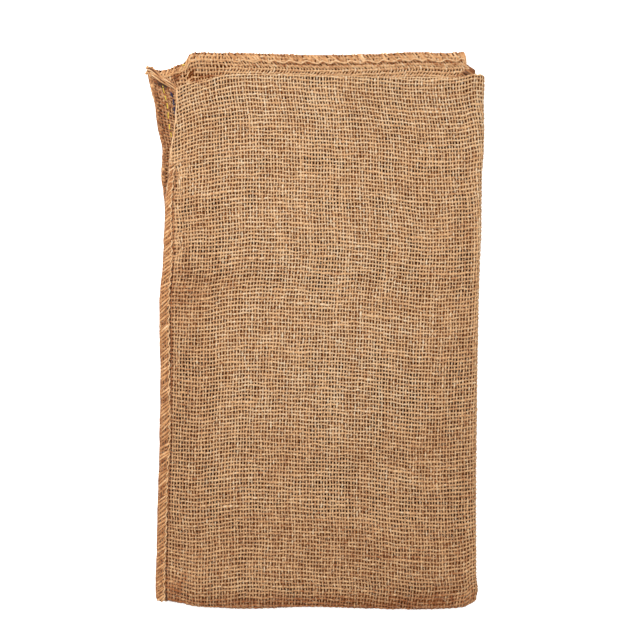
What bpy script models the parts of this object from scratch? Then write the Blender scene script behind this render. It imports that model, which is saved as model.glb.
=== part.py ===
"""A burlap sack, folded flat for storage: in half along its length, then in thirds across its width.

The sack is one length of jute cloth, doubled at the sack's bottom and sewn up both sides, so it is one
solid. It lies on its last third, with the first third on top. +X is across the folded pack, +Y points to
the mouth and +Z up. Sizes are in millimetres until the mesh is made.

A point of the sack is named by its column (where it is across the sack's width), its row (where it is
between the sack's bottom and its mouth) and its depth through the two walls. The half fold and then the
folds in thirds bend that flat sack round, so no ply can pass through another.
"""

import math
from collections import namedtuple

import bmesh
import bpy

MM = 0.001

# ---- the cloth -------------------------------------------------------------------------------------
PLY = 1.1  # one ply of jute cloth
WALLS_APART = 0.4  # between the sack's two walls
HALVES_APART = 0.6  # between the front half and the mouth half
THIRDS_APART = 0.6  # between one third and the next
SEAM_BAND = 10.0  # width of the sewn band along a side edge
SEAM_RISE = 0.9  # how far the band stands proud on the face that shows
RIM_BAND = 10.0  # width of the sewn band along the mouth
RIM_SWELL = 0.6  # share by which the band is thicker than the cloth
EDGE_NOSE = 1.0  # how far a closed edge bulges past its last column
ARC_STEPS = 5  # steps round each fold

BOTH_WALLS = 2 * PLY + WALLS_APART
HALF_STACK = HALVES_APART / 2 + BOTH_WALLS  # half the height of one folded third
FOLD_REACH = THIRDS_APART / 2 + 2 * HALF_STACK  # largest radius of a fold between thirds
PACK_HEIGHT = 2 * THIRDS_APART + 6 * HALF_STACK

FRONT_LENGTH = 540.0  # from the half fold up to the sack's bottom
MOUTH_LENGTH = 565.0  # from the half fold up to the mouth
FLAT_WIDTH = 320.0  # of one third, up to where its fold begins

# ---- the outline -----------------------------------------------------------------------------------
# Across: where each edge is at a height up from the half fold. front and mouth are the two halves of the
# top third; under is the hidden fold between the last two thirds.
Edge = namedtuple("Edge", "up front_seam mouth_seam under_fold front_fold mouth_fold")
EDGES = (
    Edge(up=0, front_seam=-161, mouth_seam=-159, under_fold=-157, front_fold=161, mouth_fold=160),
    Edge(up=20, front_seam=-164, mouth_seam=-162, under_fold=-159, front_fold=163, mouth_fold=162),
    Edge(up=70, front_seam=-162, mouth_seam=-160, under_fold=-157, front_fold=161, mouth_fold=160),
    Edge(up=130, front_seam=-160, mouth_seam=-158, under_fold=-155, front_fold=161, mouth_fold=160),
    Edge(up=230, front_seam=-159, mouth_seam=-157, under_fold=-154, front_fold=162, mouth_fold=161),
    Edge(up=310, front_seam=-160, mouth_seam=-158, under_fold=-154, front_fold=164, mouth_fold=163),
    Edge(up=345, front_seam=-157, mouth_seam=-155, under_fold=-152, front_fold=165, mouth_fold=164),
    Edge(up=385, front_seam=-154, mouth_seam=-153, under_fold=-149, front_fold=167, mouth_fold=166),
    Edge(up=415, front_seam=-153, mouth_seam=-154, under_fold=-148, front_fold=167, mouth_fold=166),
    Edge(up=440, front_seam=-150, mouth_seam=-157, under_fold=-147, front_fold=167, mouth_fold=166),
    Edge(up=465, front_seam=-148, mouth_seam=-156, under_fold=-146, front_fold=169, mouth_fold=167),
    Edge(up=490, front_seam=-144, mouth_seam=-161, under_fold=-146, front_fold=169, mouth_fold=167),
    Edge(up=515, front_seam=-142, mouth_seam=-164, under_fold=-147, front_fold=169, mouth_fold=165),
    Edge(up=530, front_seam=-142, mouth_seam=-168, under_fold=-148, front_fold=170, mouth_fold=162),
    Edge(up=545, front_seam=-142, mouth_seam=-171, under_fold=-149, front_fold=170, mouth_fold=156),
    Edge(up=565, front_seam=-142, mouth_seam=-171, under_fold=-150, front_fold=170, mouth_fold=150),
)
# Along: how high each end is at a place across. near and far are the mouth edges of the top third's two
# walls; inner and under are the mouth of the thirds beneath.
End = namedtuple("End", "x half_fold sack_bottom near_mouth far_mouth inner_mouth under_mouth")
ENDS = (
    End(x=-171, half_fold=9, sack_bottom=528, near_mouth=548, far_mouth=548, inner_mouth=538, under_mouth=536),
    End(x=-158, half_fold=7, sack_bottom=528, near_mouth=540, far_mouth=546, inner_mouth=539, under_mouth=538),
    End(x=-150, half_fold=6, sack_bottom=528, near_mouth=534, far_mouth=547, inner_mouth=540, under_mouth=541),
    End(x=-141, half_fold=5, sack_bottom=529, near_mouth=528, far_mouth=552, inner_mouth=544, under_mouth=545),
    End(x=-131, half_fold=4, sack_bottom=532, near_mouth=526, far_mouth=556, inner_mouth=548, under_mouth=549),
    End(x=-122, half_fold=3, sack_bottom=534, near_mouth=526, far_mouth=565, inner_mouth=551, under_mouth=553),
    End(x=-105, half_fold=2, sack_bottom=539, near_mouth=527, far_mouth=565, inner_mouth=555, under_mouth=557),
    End(x=-84, half_fold=1, sack_bottom=542, near_mouth=530, far_mouth=564, inner_mouth=557, under_mouth=560),
    End(x=0, half_fold=2, sack_bottom=541, near_mouth=533, far_mouth=562, inner_mouth=553, under_mouth=558),
    End(x=100, half_fold=0, sack_bottom=539, near_mouth=535, far_mouth=564, inner_mouth=556, under_mouth=553),
    End(x=130, half_fold=1, sack_bottom=539, near_mouth=540, far_mouth=564, inner_mouth=557, under_mouth=551),
    End(x=150, half_fold=3, sack_bottom=540, near_mouth=548, far_mouth=564, inner_mouth=556, under_mouth=549),
    End(x=160, half_fold=8, sack_bottom=541, near_mouth=547, far_mouth=560, inner_mouth=552, under_mouth=547),
    End(x=170, half_fold=16, sack_bottom=540, near_mouth=545, far_mouth=556, inner_mouth=549, under_mouth=545),
)
HALF_FOLD_FADES = 90.0  # the half fold's waves are gone this far up
ENDS_BEGIN = 450.0  # above this the cloth eases towards the ends' own lines
UNDER_SHORTER = 5.0  # the hidden thirds stop this far short of the top third's sack bottom
UNDER_INSET = 2.0  # and their half folds lie this far in

# ---- the folds that show on the front ------------------------------------------------------------------
# Soft ridges (height above 0) and troughs (below 0): middle, reach along and across, turn from X.
Crease = namedtuple("Crease", "x up along across turn height")
CREASES = (
    Crease(x=-95, up=310, along=80, across=45, turn=72, height=-2.2),
    Crease(x=-30, up=370, along=110, across=45, turn=18, height=1.6),
    Crease(x=100, up=360, along=100, across=50, turn=-25, height=-1.3),
    Crease(x=30, up=235, along=130, across=55, turn=-8, height=1.3),
    Crease(x=-70, up=120, along=110, across=50, turn=12, height=1.5),
    Crease(x=85, up=95, along=95, across=50, turn=-30, height=-1.5),
    Crease(x=163, up=255, along=85, across=34, turn=90, height=1.7),
    Crease(x=160, up=70, along=60, across=34, turn=90, height=-0.9),
    Crease(x=-150, up=215, along=70, across=30, turn=90, height=1.3),
    Crease(x=-85, up=8, along=60, across=34, turn=0, height=1.4),
    Crease(x=45, up=8, along=60, across=34, turn=0, height=-1.2),
)
EDGE_SOFT = 30.0  # the pack thins towards its edges over this width
EDGE_DROOP = 0.10  # by this share of its height
LEVEL_FROM, LEVEL_TO = 370.0, 450.0  # towards the ends the pack becomes even again
ROLL_X, ROLL_REACH, ROLL_RISE = -122.0, 17.0, 4.0  # the far wall's mouth rolls up here
ROLL_FROM, ROLL_TO = 541.0, 556.0

# ---- columns and rows ------------------------------------------------------------------------------------
TOP, RIGHT_FOLD, MIDDLE, LEFT_FOLD, BOTTOM = range(5)
FRONT, HALF_FOLD, MOUTH = range(3)
Column = namedtuple("Column", "part across turn")  # across in mm from the left edge, turn round a fold
Row = namedtuple("Row", "part up turn")

TOP_COLUMNS = (20.0, 30.0, 40.0, 48.0, 90.0, 150.0, 210.0, 266.0)  # close together near the open corner
UNDER_COLUMNS = (30.0, 90.0, 150.0, 210.0, 266.0)
INSIDE_ROWS = (36.0, 90.0, 150.0, 215.0, 280.0, 345.0, 400.0, 450.0, 485.0, 515.0)
UNDER_START = 10.0  # where the hidden fold begins, from the left edge


def blend(low, high, share):
    return low + (high - low) * share


def smooth(share):
    share = min(max(share, 0.0), 1.0)
    return share * share * (3 - 2 * share)


def lookup(table, name, at):
    """A column of a table at a place between its rows, as a curve without overshoot."""
    keys = [row[0] for row in table]
    values = [getattr(row, name) for row in table]
    if at <= keys[0]:
        return values[0]
    if at >= keys[-1]:
        return values[-1]
    k = next(i for i, key in enumerate(keys) if key > at) - 1

    def slope(i):
        if i == 0 or i == len(keys) - 1:
            return 0.0
        before = (values[i] - values[i - 1]) / (keys[i] - keys[i - 1])
        after = (values[i + 1] - values[i]) / (keys[i + 1] - keys[i])
        return 0.0 if before * after <= 0 else 2 * before * after / (before + after)

    span = keys[k + 1] - keys[k]
    f = (at - keys[k]) / span
    return (
        values[k] * (1 + 2 * f) * (1 - f) ** 2
        + values[k + 1] * f * f * (3 - 2 * f)
        + span * f * (1 - f) * (slope(k) * (1 - f) - slope(k + 1) * f)
    )


def make_columns():
    """From the sewn edge of the top third, round both folds, to the sewn edge of the bottom third."""
    turns = [math.pi * k / ARC_STEPS for k in range(1, ARC_STEPS)]
    columns = [Column(TOP, across, 0.0) for across in (0.0, SEAM_BAND / 2, SEAM_BAND)]
    columns += [Column(TOP, across, 0.0) for across in TOP_COLUMNS + (FLAT_WIDTH,)]
    columns += [Column(RIGHT_FOLD, FLAT_WIDTH, turn) for turn in turns]
    columns += [Column(MIDDLE, across, 0.0) for across in (FLAT_WIDTH,) + UNDER_COLUMNS[::-1]]
    columns += [Column(MIDDLE, UNDER_START, 0.0)]
    columns += [Column(LEFT_FOLD, UNDER_START, turn) for turn in turns]
    columns += [Column(BOTTOM, across, 0.0) for across in (UNDER_START,) + UNDER_COLUMNS]
    columns += [Column(BOTTOM, FLAT_WIDTH - across, 0.0) for across in (SEAM_BAND, SEAM_BAND / 2, 0.0)]
    return columns


def make_rows():
    """From the sack's bottom, down the front half, round the half fold, and up to the mouth."""
    turns = [math.pi * k / ARC_STEPS for k in range(1, ARC_STEPS)]
    flat_rows = (HALF_STACK,) + INSIDE_ROWS
    rows = [Row(FRONT, up, 0.0) for up in (FRONT_LENGTH,) + flat_rows[::-1]]
    rows += [Row(HALF_FOLD, HALF_STACK, turn) for turn in turns]
    rows += [Row(MOUTH, up, math.pi) for up in flat_rows]
    rows += [Row(MOUTH, MOUTH_LENGTH - back, math.pi) for back in (2 * RIM_BAND, RIM_BAND, RIM_BAND / 2, 0.0)]
    return rows


def by_third(column, top, middle, bottom):
    """A value that each third has of its own, turning into the next one's round a fold."""
    started = {TOP: 0.0, RIGHT_FOLD: 0.0, MIDDLE: 1.0, LEFT_FOLD: 1.0, BOTTOM: 2.0}[column.part]
    progress = started + (1 - math.cos(column.turn)) / 2
    return blend(top, middle, progress) if progress <= 1 else blend(middle, bottom, progress - 1)


def crease_lift(x, up):
    lift = 0.0
    for crease in CREASES:
        turn = math.radians(crease.turn)
        dx, dy = x - crease.x, up - crease.up
        along = (dx * math.cos(turn) + dy * math.sin(turn)) / crease.along
        across = (dy * math.cos(turn) - dx * math.sin(turn)) / crease.across
        lift += crease.height * math.exp(-along * along - across * across)
    return lift


def pack_scale(x, up):
    """How much higher or lower the pack is at a place than its even height."""
    left = lookup(EDGES, "front_seam", up)
    right = lookup(EDGES, "front_fold", up)
    edge = smooth(min(x - left, right - x, up) / EDGE_SOFT)
    uneven = 1 - EDGE_DROOP * (1 - edge) + crease_lift(x, up) / PACK_HEIGHT
    return blend(uneven, 1 - EDGE_DROOP / 2, smooth((up - LEVEL_FROM) / (LEVEL_TO - LEVEL_FROM)))


def across_the_pack(column, up, to_mouth):
    """Where a flat point lies across the pack, between the edges of its own third and half."""
    seam = blend(lookup(EDGES, "front_seam", up), lookup(EDGES, "mouth_seam", up), to_mouth)
    fold = blend(lookup(EDGES, "front_fold", up), lookup(EDGES, "mouth_fold", up), to_mouth)
    right = fold - FOLD_REACH
    under = lookup(EDGES, "under_fold", up) + FOLD_REACH
    if column.part == TOP:
        return blend(seam, right, column.across / FLAT_WIDTH)
    return blend(under, right, (column.across - UNDER_START) / (FLAT_WIDTH - UNDER_START))


def along_the_pack(column, row, x, wall_b):
    """How far up a flat point lies, with the waves of the half fold and the line of its own end."""
    up = row.up
    low = lookup(ENDS, "half_fold", x) + by_third(column, 0.0, UNDER_INSET, UNDER_INSET / 2)
    if row.part == FRONT:
        end = lookup(ENDS, "sack_bottom", x) - by_third(column, 0.0, UNDER_SHORTER, UNDER_SHORTER)
        length = FRONT_LENGTH
    else:
        shown = lookup(ENDS, "near_mouth" if wall_b else "far_mouth", x)
        end = by_third(column, shown, lookup(ENDS, "inner_mouth", x), lookup(ENDS, "under_mouth", x))
        length = MOUTH_LENGTH
    to_end = max(0.0, (up - ENDS_BEGIN) / (length - ENDS_BEGIN))
    return up + low * max(0.0, 1 - up / HALF_FOLD_FADES) + (end - length) * to_end


def rim_swell(column, row, x, y):
    """How much thicker the cloth is than one ply in the band round the mouth, where no ply lies on it."""
    back = MOUTH_LENGTH - row.up
    if row.part != MOUTH or back >= RIM_BAND:
        return 1.0
    profile = 1.0 if back > 0 else 0.6
    if column.part == TOP:
        beyond_front = max(y - lookup(ENDS, "sack_bottom", x), lookup(EDGES, "front_seam", y) - x)
        profile *= smooth((beyond_front - 2) / 8)
    return 1 + RIM_SWELL * profile


def extra_rise(column, row, depth, wall_b, x, y):
    """The sewn band that shows on the front, and the roll in the far wall's mouth."""
    if column.part != TOP:
        return 0.0
    if row.part == FRONT:
        return SEAM_RISE if depth == 0.0 and column.across == SEAM_BAND / 2 else 0.0
    if wall_b:
        return 0.0
    near_roll = math.exp(-(((x - ROLL_X) / ROLL_REACH) ** 2))
    return ROLL_RISE * near_roll * smooth((y - ROLL_FROM) / (ROLL_TO - ROLL_FROM))


def place(column, row, depth, wall_b=False, nose=0.0):
    """Where a point of the folded sack is.

    depth counts from wall A's outer face through to wall B's outer face, and nose is how far a closed
    edge bulges past its column.
    """
    # in the plane, where the half fold turns the front half's edges into the mouth half's
    to_mouth = (1 - math.cos(row.turn)) / 2
    y = along_the_pack(column, row, across_the_pack(column, row.up, to_mouth), wall_b)
    x = across_the_pack(column, y, to_mouth) + (-nose if column.part == TOP else nose)

    # the half fold: wall A goes round its outside
    half_radius = HALF_STACK - depth * rim_swell(column, row, x, y)
    level = half_radius * math.cos(row.turn)
    y -= half_radius * math.sin(row.turn)
    scale = pack_scale(x, y)
    rise = extra_rise(column, row, depth, wall_b, x, y)

    # the folds in thirds: the front half goes round the outside of the right one, the mouth half round
    # the outside of the left one
    over = THIRDS_APART / 2 + HALF_STACK + level
    below = THIRDS_APART / 2 + HALF_STACK - level
    lower_centre = FOLD_REACH
    upper_centre = lower_centre + THIRDS_APART + 2 * HALF_STACK
    if column.part == TOP:
        z = upper_centre + over + rise
    elif column.part == RIGHT_FOLD:
        x += over * math.sin(column.turn)
        z = upper_centre + over * math.cos(column.turn)
    elif column.part == MIDDLE:
        z = upper_centre - over
    elif column.part == LEFT_FOLD:
        x -= below * math.sin(column.turn)
        z = lower_centre + below * math.cos(column.turn)
    else:
        z = lower_centre - below
    return x, y, z * scale


def skin_points(columns, rows, depth, wall_b):
    return [[place(column, row, depth, wall_b) for row in rows] for column in columns]


def make_sack():
    """The cloth as one closed skin: two outer faces, two inner faces, noses at the closed edges, a rim."""
    columns, rows = make_columns(), make_rows()
    cloth = bmesh.new()

    def vertex(point):
        return cloth.verts.new([MM * value for value in point])

    def skin(columns, depth, wall_b):
        return [[vertex(point) for point in line] for line in skin_points(columns, rows, depth, wall_b)]

    def bridge(first, second):
        """Faces between two lines of vertices that run side by side."""
        for k in range(len(first) - 1):
            cloth.faces.new((first[k], first[k + 1], second[k + 1], second[k]))

    def cover(grid):
        for first, second in zip(grid, grid[1:]):
            bridge(first, second)

    def row_of(grid, k):
        return [line[k] for line in grid]

    outer_a, outer_b = skin(columns, 0.0, False), skin(columns, BOTH_WALLS, True)
    in_seams = columns[2:-2]  # the walls part only between the sewn bands
    inner_a, inner_b = skin(in_seams, PLY, False), skin(in_seams, PLY + WALLS_APART, True)
    for grid in (outer_a, outer_b, inner_a, inner_b):
        cover(grid)

    # noses: along one side seam, the sack's bottom and the other side seam
    middle = BOTH_WALLS / 2
    left_nose = [vertex(place(columns[0], row, middle, nose=EDGE_NOSE)) for row in rows]
    right_nose = [vertex(place(columns[-1], row, middle, nose=EDGE_NOSE)) for row in rows]
    bottom_nose = [left_nose[0]]
    for column in columns[1:-1]:
        x, y, z = place(column, rows[0], middle)
        bottom_nose.append(vertex((x, y + EDGE_NOSE, z)))
    bottom_nose.append(right_nose[0])
    for grid in (outer_a, outer_b):
        bridge(grid[0], left_nose)
        bridge(grid[-1], right_nose)
        bridge(row_of(grid, 0), bottom_nose)

    # the space inside the sack ends at the seams and at its bottom
    bridge(inner_a[0], inner_b[0])
    bridge(inner_a[-1], inner_b[-1])
    bridge(row_of(inner_a, 0), row_of(inner_b, 0))

    # the rim of the mouth, and the ends of the two side seams in it
    bridge(row_of(outer_a, -1)[2:-2], row_of(inner_a, -1))
    bridge(row_of(outer_b, -1)[2:-2], row_of(inner_b, -1))
    for end, edge, nose in ((0, (0, 1, 2), left_nose), (-1, (-1, -2, -3), right_nose)):
        a0, a1, a2 = (outer_a[k][-1] for k in edge)
        b0, b1, b2 = (outer_b[k][-1] for k in edge)
        cloth.faces.new((nose[-1], a0, b0))
        cloth.faces.new((a0, a1, b1, b0))
        cloth.faces.new((a1, a2, inner_a[end][-1], inner_b[end][-1], b2, b1))

    bmesh.ops.triangulate(cloth, faces=cloth.faces[:])
    bmesh.ops.recalc_face_normals(cloth, faces=cloth.faces[:])
    if cloth.calc_volume(signed=True) < 0:
        bmesh.ops.reverse_faces(cloth, faces=cloth.faces[:])
    centre_on_origin(cloth)
    mesh = bpy.data.meshes.new("sack_cloth")
    cloth.to_mesh(mesh)
    cloth.free()
    return mesh


def centre_on_origin(cloth):
    """The middle of the outline goes to the origin; the underside is already at z = 0."""
    for axis in (0, 1):
        values = [vertex.co[axis] for vertex in cloth.verts]
        middle = (min(values) + max(values)) / 2
        for vertex in cloth.verts:
            vertex.co[axis] -= middle


def jute():
    material = bpy.data.materials.new("jute")
    material.use_nodes = True
    shader = material.node_tree.nodes["Principled BSDF"]
    shader.inputs["Base Color"].default_value = (0.50, 0.31, 0.145, 1.0)
    shader.inputs["Roughness"].default_value = 0.92
    shader.inputs["Metallic"].default_value = 0.0
    return material


def main():
    for leftover in list(bpy.data.objects):
        bpy.data.objects.remove(leftover, do_unlink=True)
    mesh = make_sack()
    mesh.materials.append(jute())
    mesh.shade_smooth()
    mesh.set_sharp_from_angle(angle=math.radians(40))
    sack = bpy.data.objects.new("sack_cloth", mesh)
    bpy.context.collection.objects.link(sack)


main()
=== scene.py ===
"""The looks of a burlap sack that is folded flat: its woven yarns, its overcast sewing and its loose fibres.

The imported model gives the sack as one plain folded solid. Here a thin sheet lies on that solid's folds and
carries real yarns, woven over and under each other, where the cloth shows. Twine is whipped over the sewn
edges and the mouth. All of it is placed by one map, fold(), from a point of the flat cloth to its place in
the folded pack, so cloth, yarns and stitches lie together. Cloth sizes are in millimetres.
"""

import math
from collections import namedtuple

import bmesh
import bpy
import numpy as np
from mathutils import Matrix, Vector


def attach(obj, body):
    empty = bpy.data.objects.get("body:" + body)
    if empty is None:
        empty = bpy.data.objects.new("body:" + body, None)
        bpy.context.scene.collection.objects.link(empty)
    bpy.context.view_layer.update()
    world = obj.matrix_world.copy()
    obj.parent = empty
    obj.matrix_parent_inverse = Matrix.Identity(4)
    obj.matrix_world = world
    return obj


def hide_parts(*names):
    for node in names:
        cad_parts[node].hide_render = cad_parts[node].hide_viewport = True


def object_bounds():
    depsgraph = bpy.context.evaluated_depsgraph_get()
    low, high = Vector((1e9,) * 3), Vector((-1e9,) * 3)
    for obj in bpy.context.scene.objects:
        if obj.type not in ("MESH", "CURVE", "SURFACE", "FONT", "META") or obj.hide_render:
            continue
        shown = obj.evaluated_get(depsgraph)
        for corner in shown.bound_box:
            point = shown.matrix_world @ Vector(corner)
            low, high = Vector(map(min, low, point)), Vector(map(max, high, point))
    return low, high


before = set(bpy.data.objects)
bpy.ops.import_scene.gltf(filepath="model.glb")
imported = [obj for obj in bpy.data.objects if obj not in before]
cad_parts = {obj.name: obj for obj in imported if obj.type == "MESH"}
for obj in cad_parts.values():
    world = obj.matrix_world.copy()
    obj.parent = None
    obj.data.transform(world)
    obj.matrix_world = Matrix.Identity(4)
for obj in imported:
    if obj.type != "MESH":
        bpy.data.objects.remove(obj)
CAD_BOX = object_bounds()

MM = 0.001

# ---- the cloth and its folds, as the solid has them --------------------------------------------------
PLY = 1.1  # how thick one wall's cloth is
WALLS_APART = 0.4  # the air between the sack's two walls
HALVES_APART = 0.6  # and between its front half and its mouth half
THIRDS_APART = 0.6  # and between one third and the next
SEAM_BAND = 10.0  # how wide the overcast band of a side seam is
SEAM_RISE = 0.9  # how high it stands above the cloth
RIM_BAND = 10.0  # how wide the mouth's rim is
RIM_SWELL = 0.6  # how much thicker the cloth is in it, as a share
EDGE_NOSE = 1.0  # twice how far a closed side edge bulges out

BOTH_WALLS = 2 * PLY + WALLS_APART
HALF_STACK = HALVES_APART / 2 + BOTH_WALLS
FOLD_REACH = THIRDS_APART / 2 + 2 * HALF_STACK
PACK_HEIGHT = 2 * THIRDS_APART + 6 * HALF_STACK

FRONT_LENGTH = 540.0
MOUTH_LENGTH = 565.0
FLAT_WIDTH = 320.0
UNDER_START = 10.0
OUTLINE_MIDDLE_X = -1.15  # the outline's middle in the tables below lies on the frame's origin
OUTLINE_MIDDLE_UP = 282.20

# along the flat cloth, across the sack: the top third, its fold, the middle third, its fold, the last
RIGHT_FOLD_END = FLAT_WIDTH + math.pi * FOLD_REACH
LEFT_FOLD_START = RIGHT_FOLD_END + FLAT_WIDTH - UNDER_START
LEFT_FOLD_END = LEFT_FOLD_START + math.pi * FOLD_REACH
SACK_ACROSS = LEFT_FOLD_END + FLAT_WIDTH - UNDER_START
# along it, from the sack's bottom: the front half, the half fold, the mouth half
FRONT_CLOTH = FRONT_LENGTH - HALF_STACK
MOUTH_START = FRONT_CLOTH + math.pi * HALF_STACK
SACK_ALONG = MOUTH_START + MOUTH_LENGTH - HALF_STACK
BOTTOM_RADIUS = BOTH_WALLS / 2  # wall A turns into wall B at the sack's bottom

# The outline: where the edges lie at each height up, and the lines of the ends at each x. Its rows were
# brought closer to the photograph after the solid was made. They differ from the solid's by up to 2 mm,
# and by up to 8 mm at the corners.
Edge = namedtuple("Edge", "up front_seam mouth_seam under_fold front_fold mouth_fold")
EDGES = (
    Edge(up=0, front_seam=-162, mouth_seam=-160, under_fold=-158, front_fold=161.5, mouth_fold=160),
    Edge(up=20, front_seam=-162.6, mouth_seam=-161, under_fold=-159, front_fold=164.2, mouth_fold=162),
    Edge(up=34, front_seam=-162.5, mouth_seam=-161, under_fold=-158, front_fold=162.8, mouth_fold=161),
    Edge(up=70, front_seam=-161.4, mouth_seam=-160, under_fold=-157, front_fold=162.8, mouth_fold=161),
    Edge(up=130, front_seam=-160, mouth_seam=-158, under_fold=-155, front_fold=162.6, mouth_fold=161),
    Edge(up=155, front_seam=-159, mouth_seam=-157, under_fold=-154, front_fold=162.8, mouth_fold=161),
    Edge(up=230, front_seam=-158, mouth_seam=-157, under_fold=-154, front_fold=163.5, mouth_fold=162),
    Edge(up=310, front_seam=-159, mouth_seam=-158, under_fold=-154, front_fold=165.1, mouth_fold=163),
    Edge(up=345, front_seam=-156, mouth_seam=-155, under_fold=-152, front_fold=166.2, mouth_fold=164),
    Edge(up=385, front_seam=-154, mouth_seam=-153, under_fold=-149, front_fold=168, mouth_fold=166),
    Edge(up=415, front_seam=-153, mouth_seam=-154, under_fold=-148, front_fold=168.2, mouth_fold=166),
    Edge(up=440, front_seam=-150, mouth_seam=-157, under_fold=-147, front_fold=168.5, mouth_fold=166),
    Edge(up=465, front_seam=-148, mouth_seam=-156, under_fold=-146, front_fold=170.4, mouth_fold=167),
    Edge(up=490, front_seam=-144, mouth_seam=-161, under_fold=-146, front_fold=170.8, mouth_fold=167),
    Edge(up=515, front_seam=-142, mouth_seam=-164, under_fold=-147, front_fold=170.5, mouth_fold=165),
    Edge(up=530, front_seam=-142, mouth_seam=-168, under_fold=-148, front_fold=171, mouth_fold=164.5),
    Edge(up=547, front_seam=-142, mouth_seam=-171, under_fold=-149, front_fold=172, mouth_fold=163),
    Edge(up=554, front_seam=-142, mouth_seam=-171, under_fold=-149, front_fold=172, mouth_fold=156),
    Edge(up=565, front_seam=-142, mouth_seam=-171, under_fold=-150, front_fold=172, mouth_fold=155.5),
)
End = namedtuple("End", "x half_fold bottom near_mouth far_mouth inner_mouth under_mouth")
ENDS = (
    End(x=-171, half_fold=8, bottom=528, near_mouth=550, far_mouth=550, inner_mouth=538, under_mouth=536),
    End(x=-158, half_fold=8, bottom=528, near_mouth=541, far_mouth=547, inner_mouth=539, under_mouth=538),
    End(x=-150, half_fold=7.6, bottom=528, near_mouth=535, far_mouth=549, inner_mouth=540, under_mouth=541),
    End(x=-141, half_fold=5.5, bottom=529, near_mouth=528, far_mouth=553, inner_mouth=544, under_mouth=545),
    End(x=-134, half_fold=4.5, bottom=532, near_mouth=526, far_mouth=554, inner_mouth=548, under_mouth=549),
    End(x=-130, half_fold=3.4, bottom=533, near_mouth=526, far_mouth=562, inner_mouth=549, under_mouth=551),
    End(x=-125, half_fold=2.3, bottom=534, near_mouth=526, far_mouth=565, inner_mouth=551, under_mouth=553),
    End(x=-105, half_fold=0.4, bottom=539, near_mouth=527, far_mouth=565, inner_mouth=555, under_mouth=557),
    End(x=-84, half_fold=-0.3, bottom=542, near_mouth=530, far_mouth=565, inner_mouth=557, under_mouth=560),
    End(x=0, half_fold=0.9, bottom=541, near_mouth=533, far_mouth=563, inner_mouth=553, under_mouth=558),
    End(x=60, half_fold=-0.9, bottom=540, near_mouth=534, far_mouth=564, inner_mouth=555, under_mouth=555),
    End(x=100, half_fold=-1.7, bottom=539, near_mouth=535, far_mouth=566, inner_mouth=556, under_mouth=553),
    End(x=130, half_fold=-0.6, bottom=539, near_mouth=540, far_mouth=565, inner_mouth=557, under_mouth=551),
    End(x=150, half_fold=1.1, bottom=540, near_mouth=548, far_mouth=566, inner_mouth=556, under_mouth=549),
    End(x=160, half_fold=10.6, bottom=542, near_mouth=547, far_mouth=559, inner_mouth=552, under_mouth=547),
    End(x=170, half_fold=20, bottom=542, near_mouth=545, far_mouth=554, inner_mouth=549, under_mouth=545),
)
HALF_FOLD_FADES = 90.0  # the half fold's own line fades out up to here
ENDS_BEGIN = 450.0  # above this the cloth eases towards the ends' own lines
UNDER_SHORTER = 5.0  # how much sooner the front half ends on the two thirds below
UNDER_INSET = 2.0  # how far in the middle third's half fold lies, twice the last third's

# a soft oval on the outline's plane: its middle, its reach along and across itself, its turn from X
Spot = namedtuple("Spot", "x up along across turn amount")
# ridges (above 0) and troughs (below 0), in millimetres
CREASES = (
    Spot(x=-95, up=310, along=80, across=45, turn=72, amount=-2.2),
    Spot(x=-30, up=370, along=110, across=45, turn=18, amount=1.6),
    Spot(x=100, up=360, along=100, across=50, turn=-25, amount=-1.3),
    Spot(x=30, up=235, along=130, across=55, turn=-8, amount=1.3),
    Spot(x=-70, up=120, along=110, across=50, turn=12, amount=1.5),
    Spot(x=85, up=95, along=95, across=50, turn=-30, amount=-1.5),
    Spot(x=163, up=255, along=85, across=34, turn=90, amount=1.7),
    Spot(x=160, up=70, along=60, across=34, turn=90, amount=-0.9),
    Spot(x=-150, up=215, along=70, across=30, turn=90, amount=1.3),
    Spot(x=-85, up=8, along=60, across=34, turn=0, amount=1.4),
    Spot(x=45, up=8, along=60, across=34, turn=0, amount=-1.2),
)
# paler (above 0) and browner (below 0) places of the jute, as a share of its whole range of tones: most
# are painted shade, and one is a real stain
STAINS_AND_SHADE = (
    # painted shadow: the pockets under the corner bundle and under the roll in the far wall's mouth, the
    # slits beside the roll, and the strip at the open corner, which lies in shade
    Spot(x=-157.5, up=533.5, along=7.5, across=3.2, turn=-32, amount=-1.0),
    Spot(x=-143, up=540, along=4, across=3, turn=60, amount=-0.6),
    Spot(x=-123, up=537, along=8, across=2, turn=-15, amount=-0.4),
    Spot(x=-157, up=500, along=32, across=9, turn=95, amount=-0.18),
    Spot(x=-129, up=543, along=5, across=1.2, turn=58, amount=-0.6),
    Spot(x=-125, up=546, along=5, across=1.2, turn=58, amount=-0.4),
    Spot(x=-110, up=542, along=10, across=1.5, turn=0, amount=-0.5),
    # a real brown stain near the lower left corner
    Spot(x=-145, up=20, along=18, across=11, turn=20, amount=-0.22),
    # painted shade: the front darker towards its bottom edge, low down, at its left and right, and in soft
    # patches where its undulations are in shade
    Spot(x=0, up=2, along=300, across=12, turn=0, amount=-0.34),
    Spot(x=0, up=40, along=300, across=90, turn=0, amount=-0.16),
    Spot(x=-146, up=270, along=200, across=38, turn=90, amount=-0.18),
    Spot(x=150, up=230, along=200, across=40, turn=90, amount=-0.13),
    Spot(x=-120, up=325, along=50, across=18, turn=20, amount=-0.14),
    Spot(x=-20, up=160, along=70, across=20, turn=-8, amount=-0.08),
    Spot(x=95, up=165, along=50, across=16, turn=10, amount=-0.10),
    Spot(x=130, up=20, along=40, across=14, turn=15, amount=-0.10),
    # a thin darker line low on the front
    Spot(x=75, up=52, along=45, across=1.5, turn=-4, amount=-0.20),
)
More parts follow.
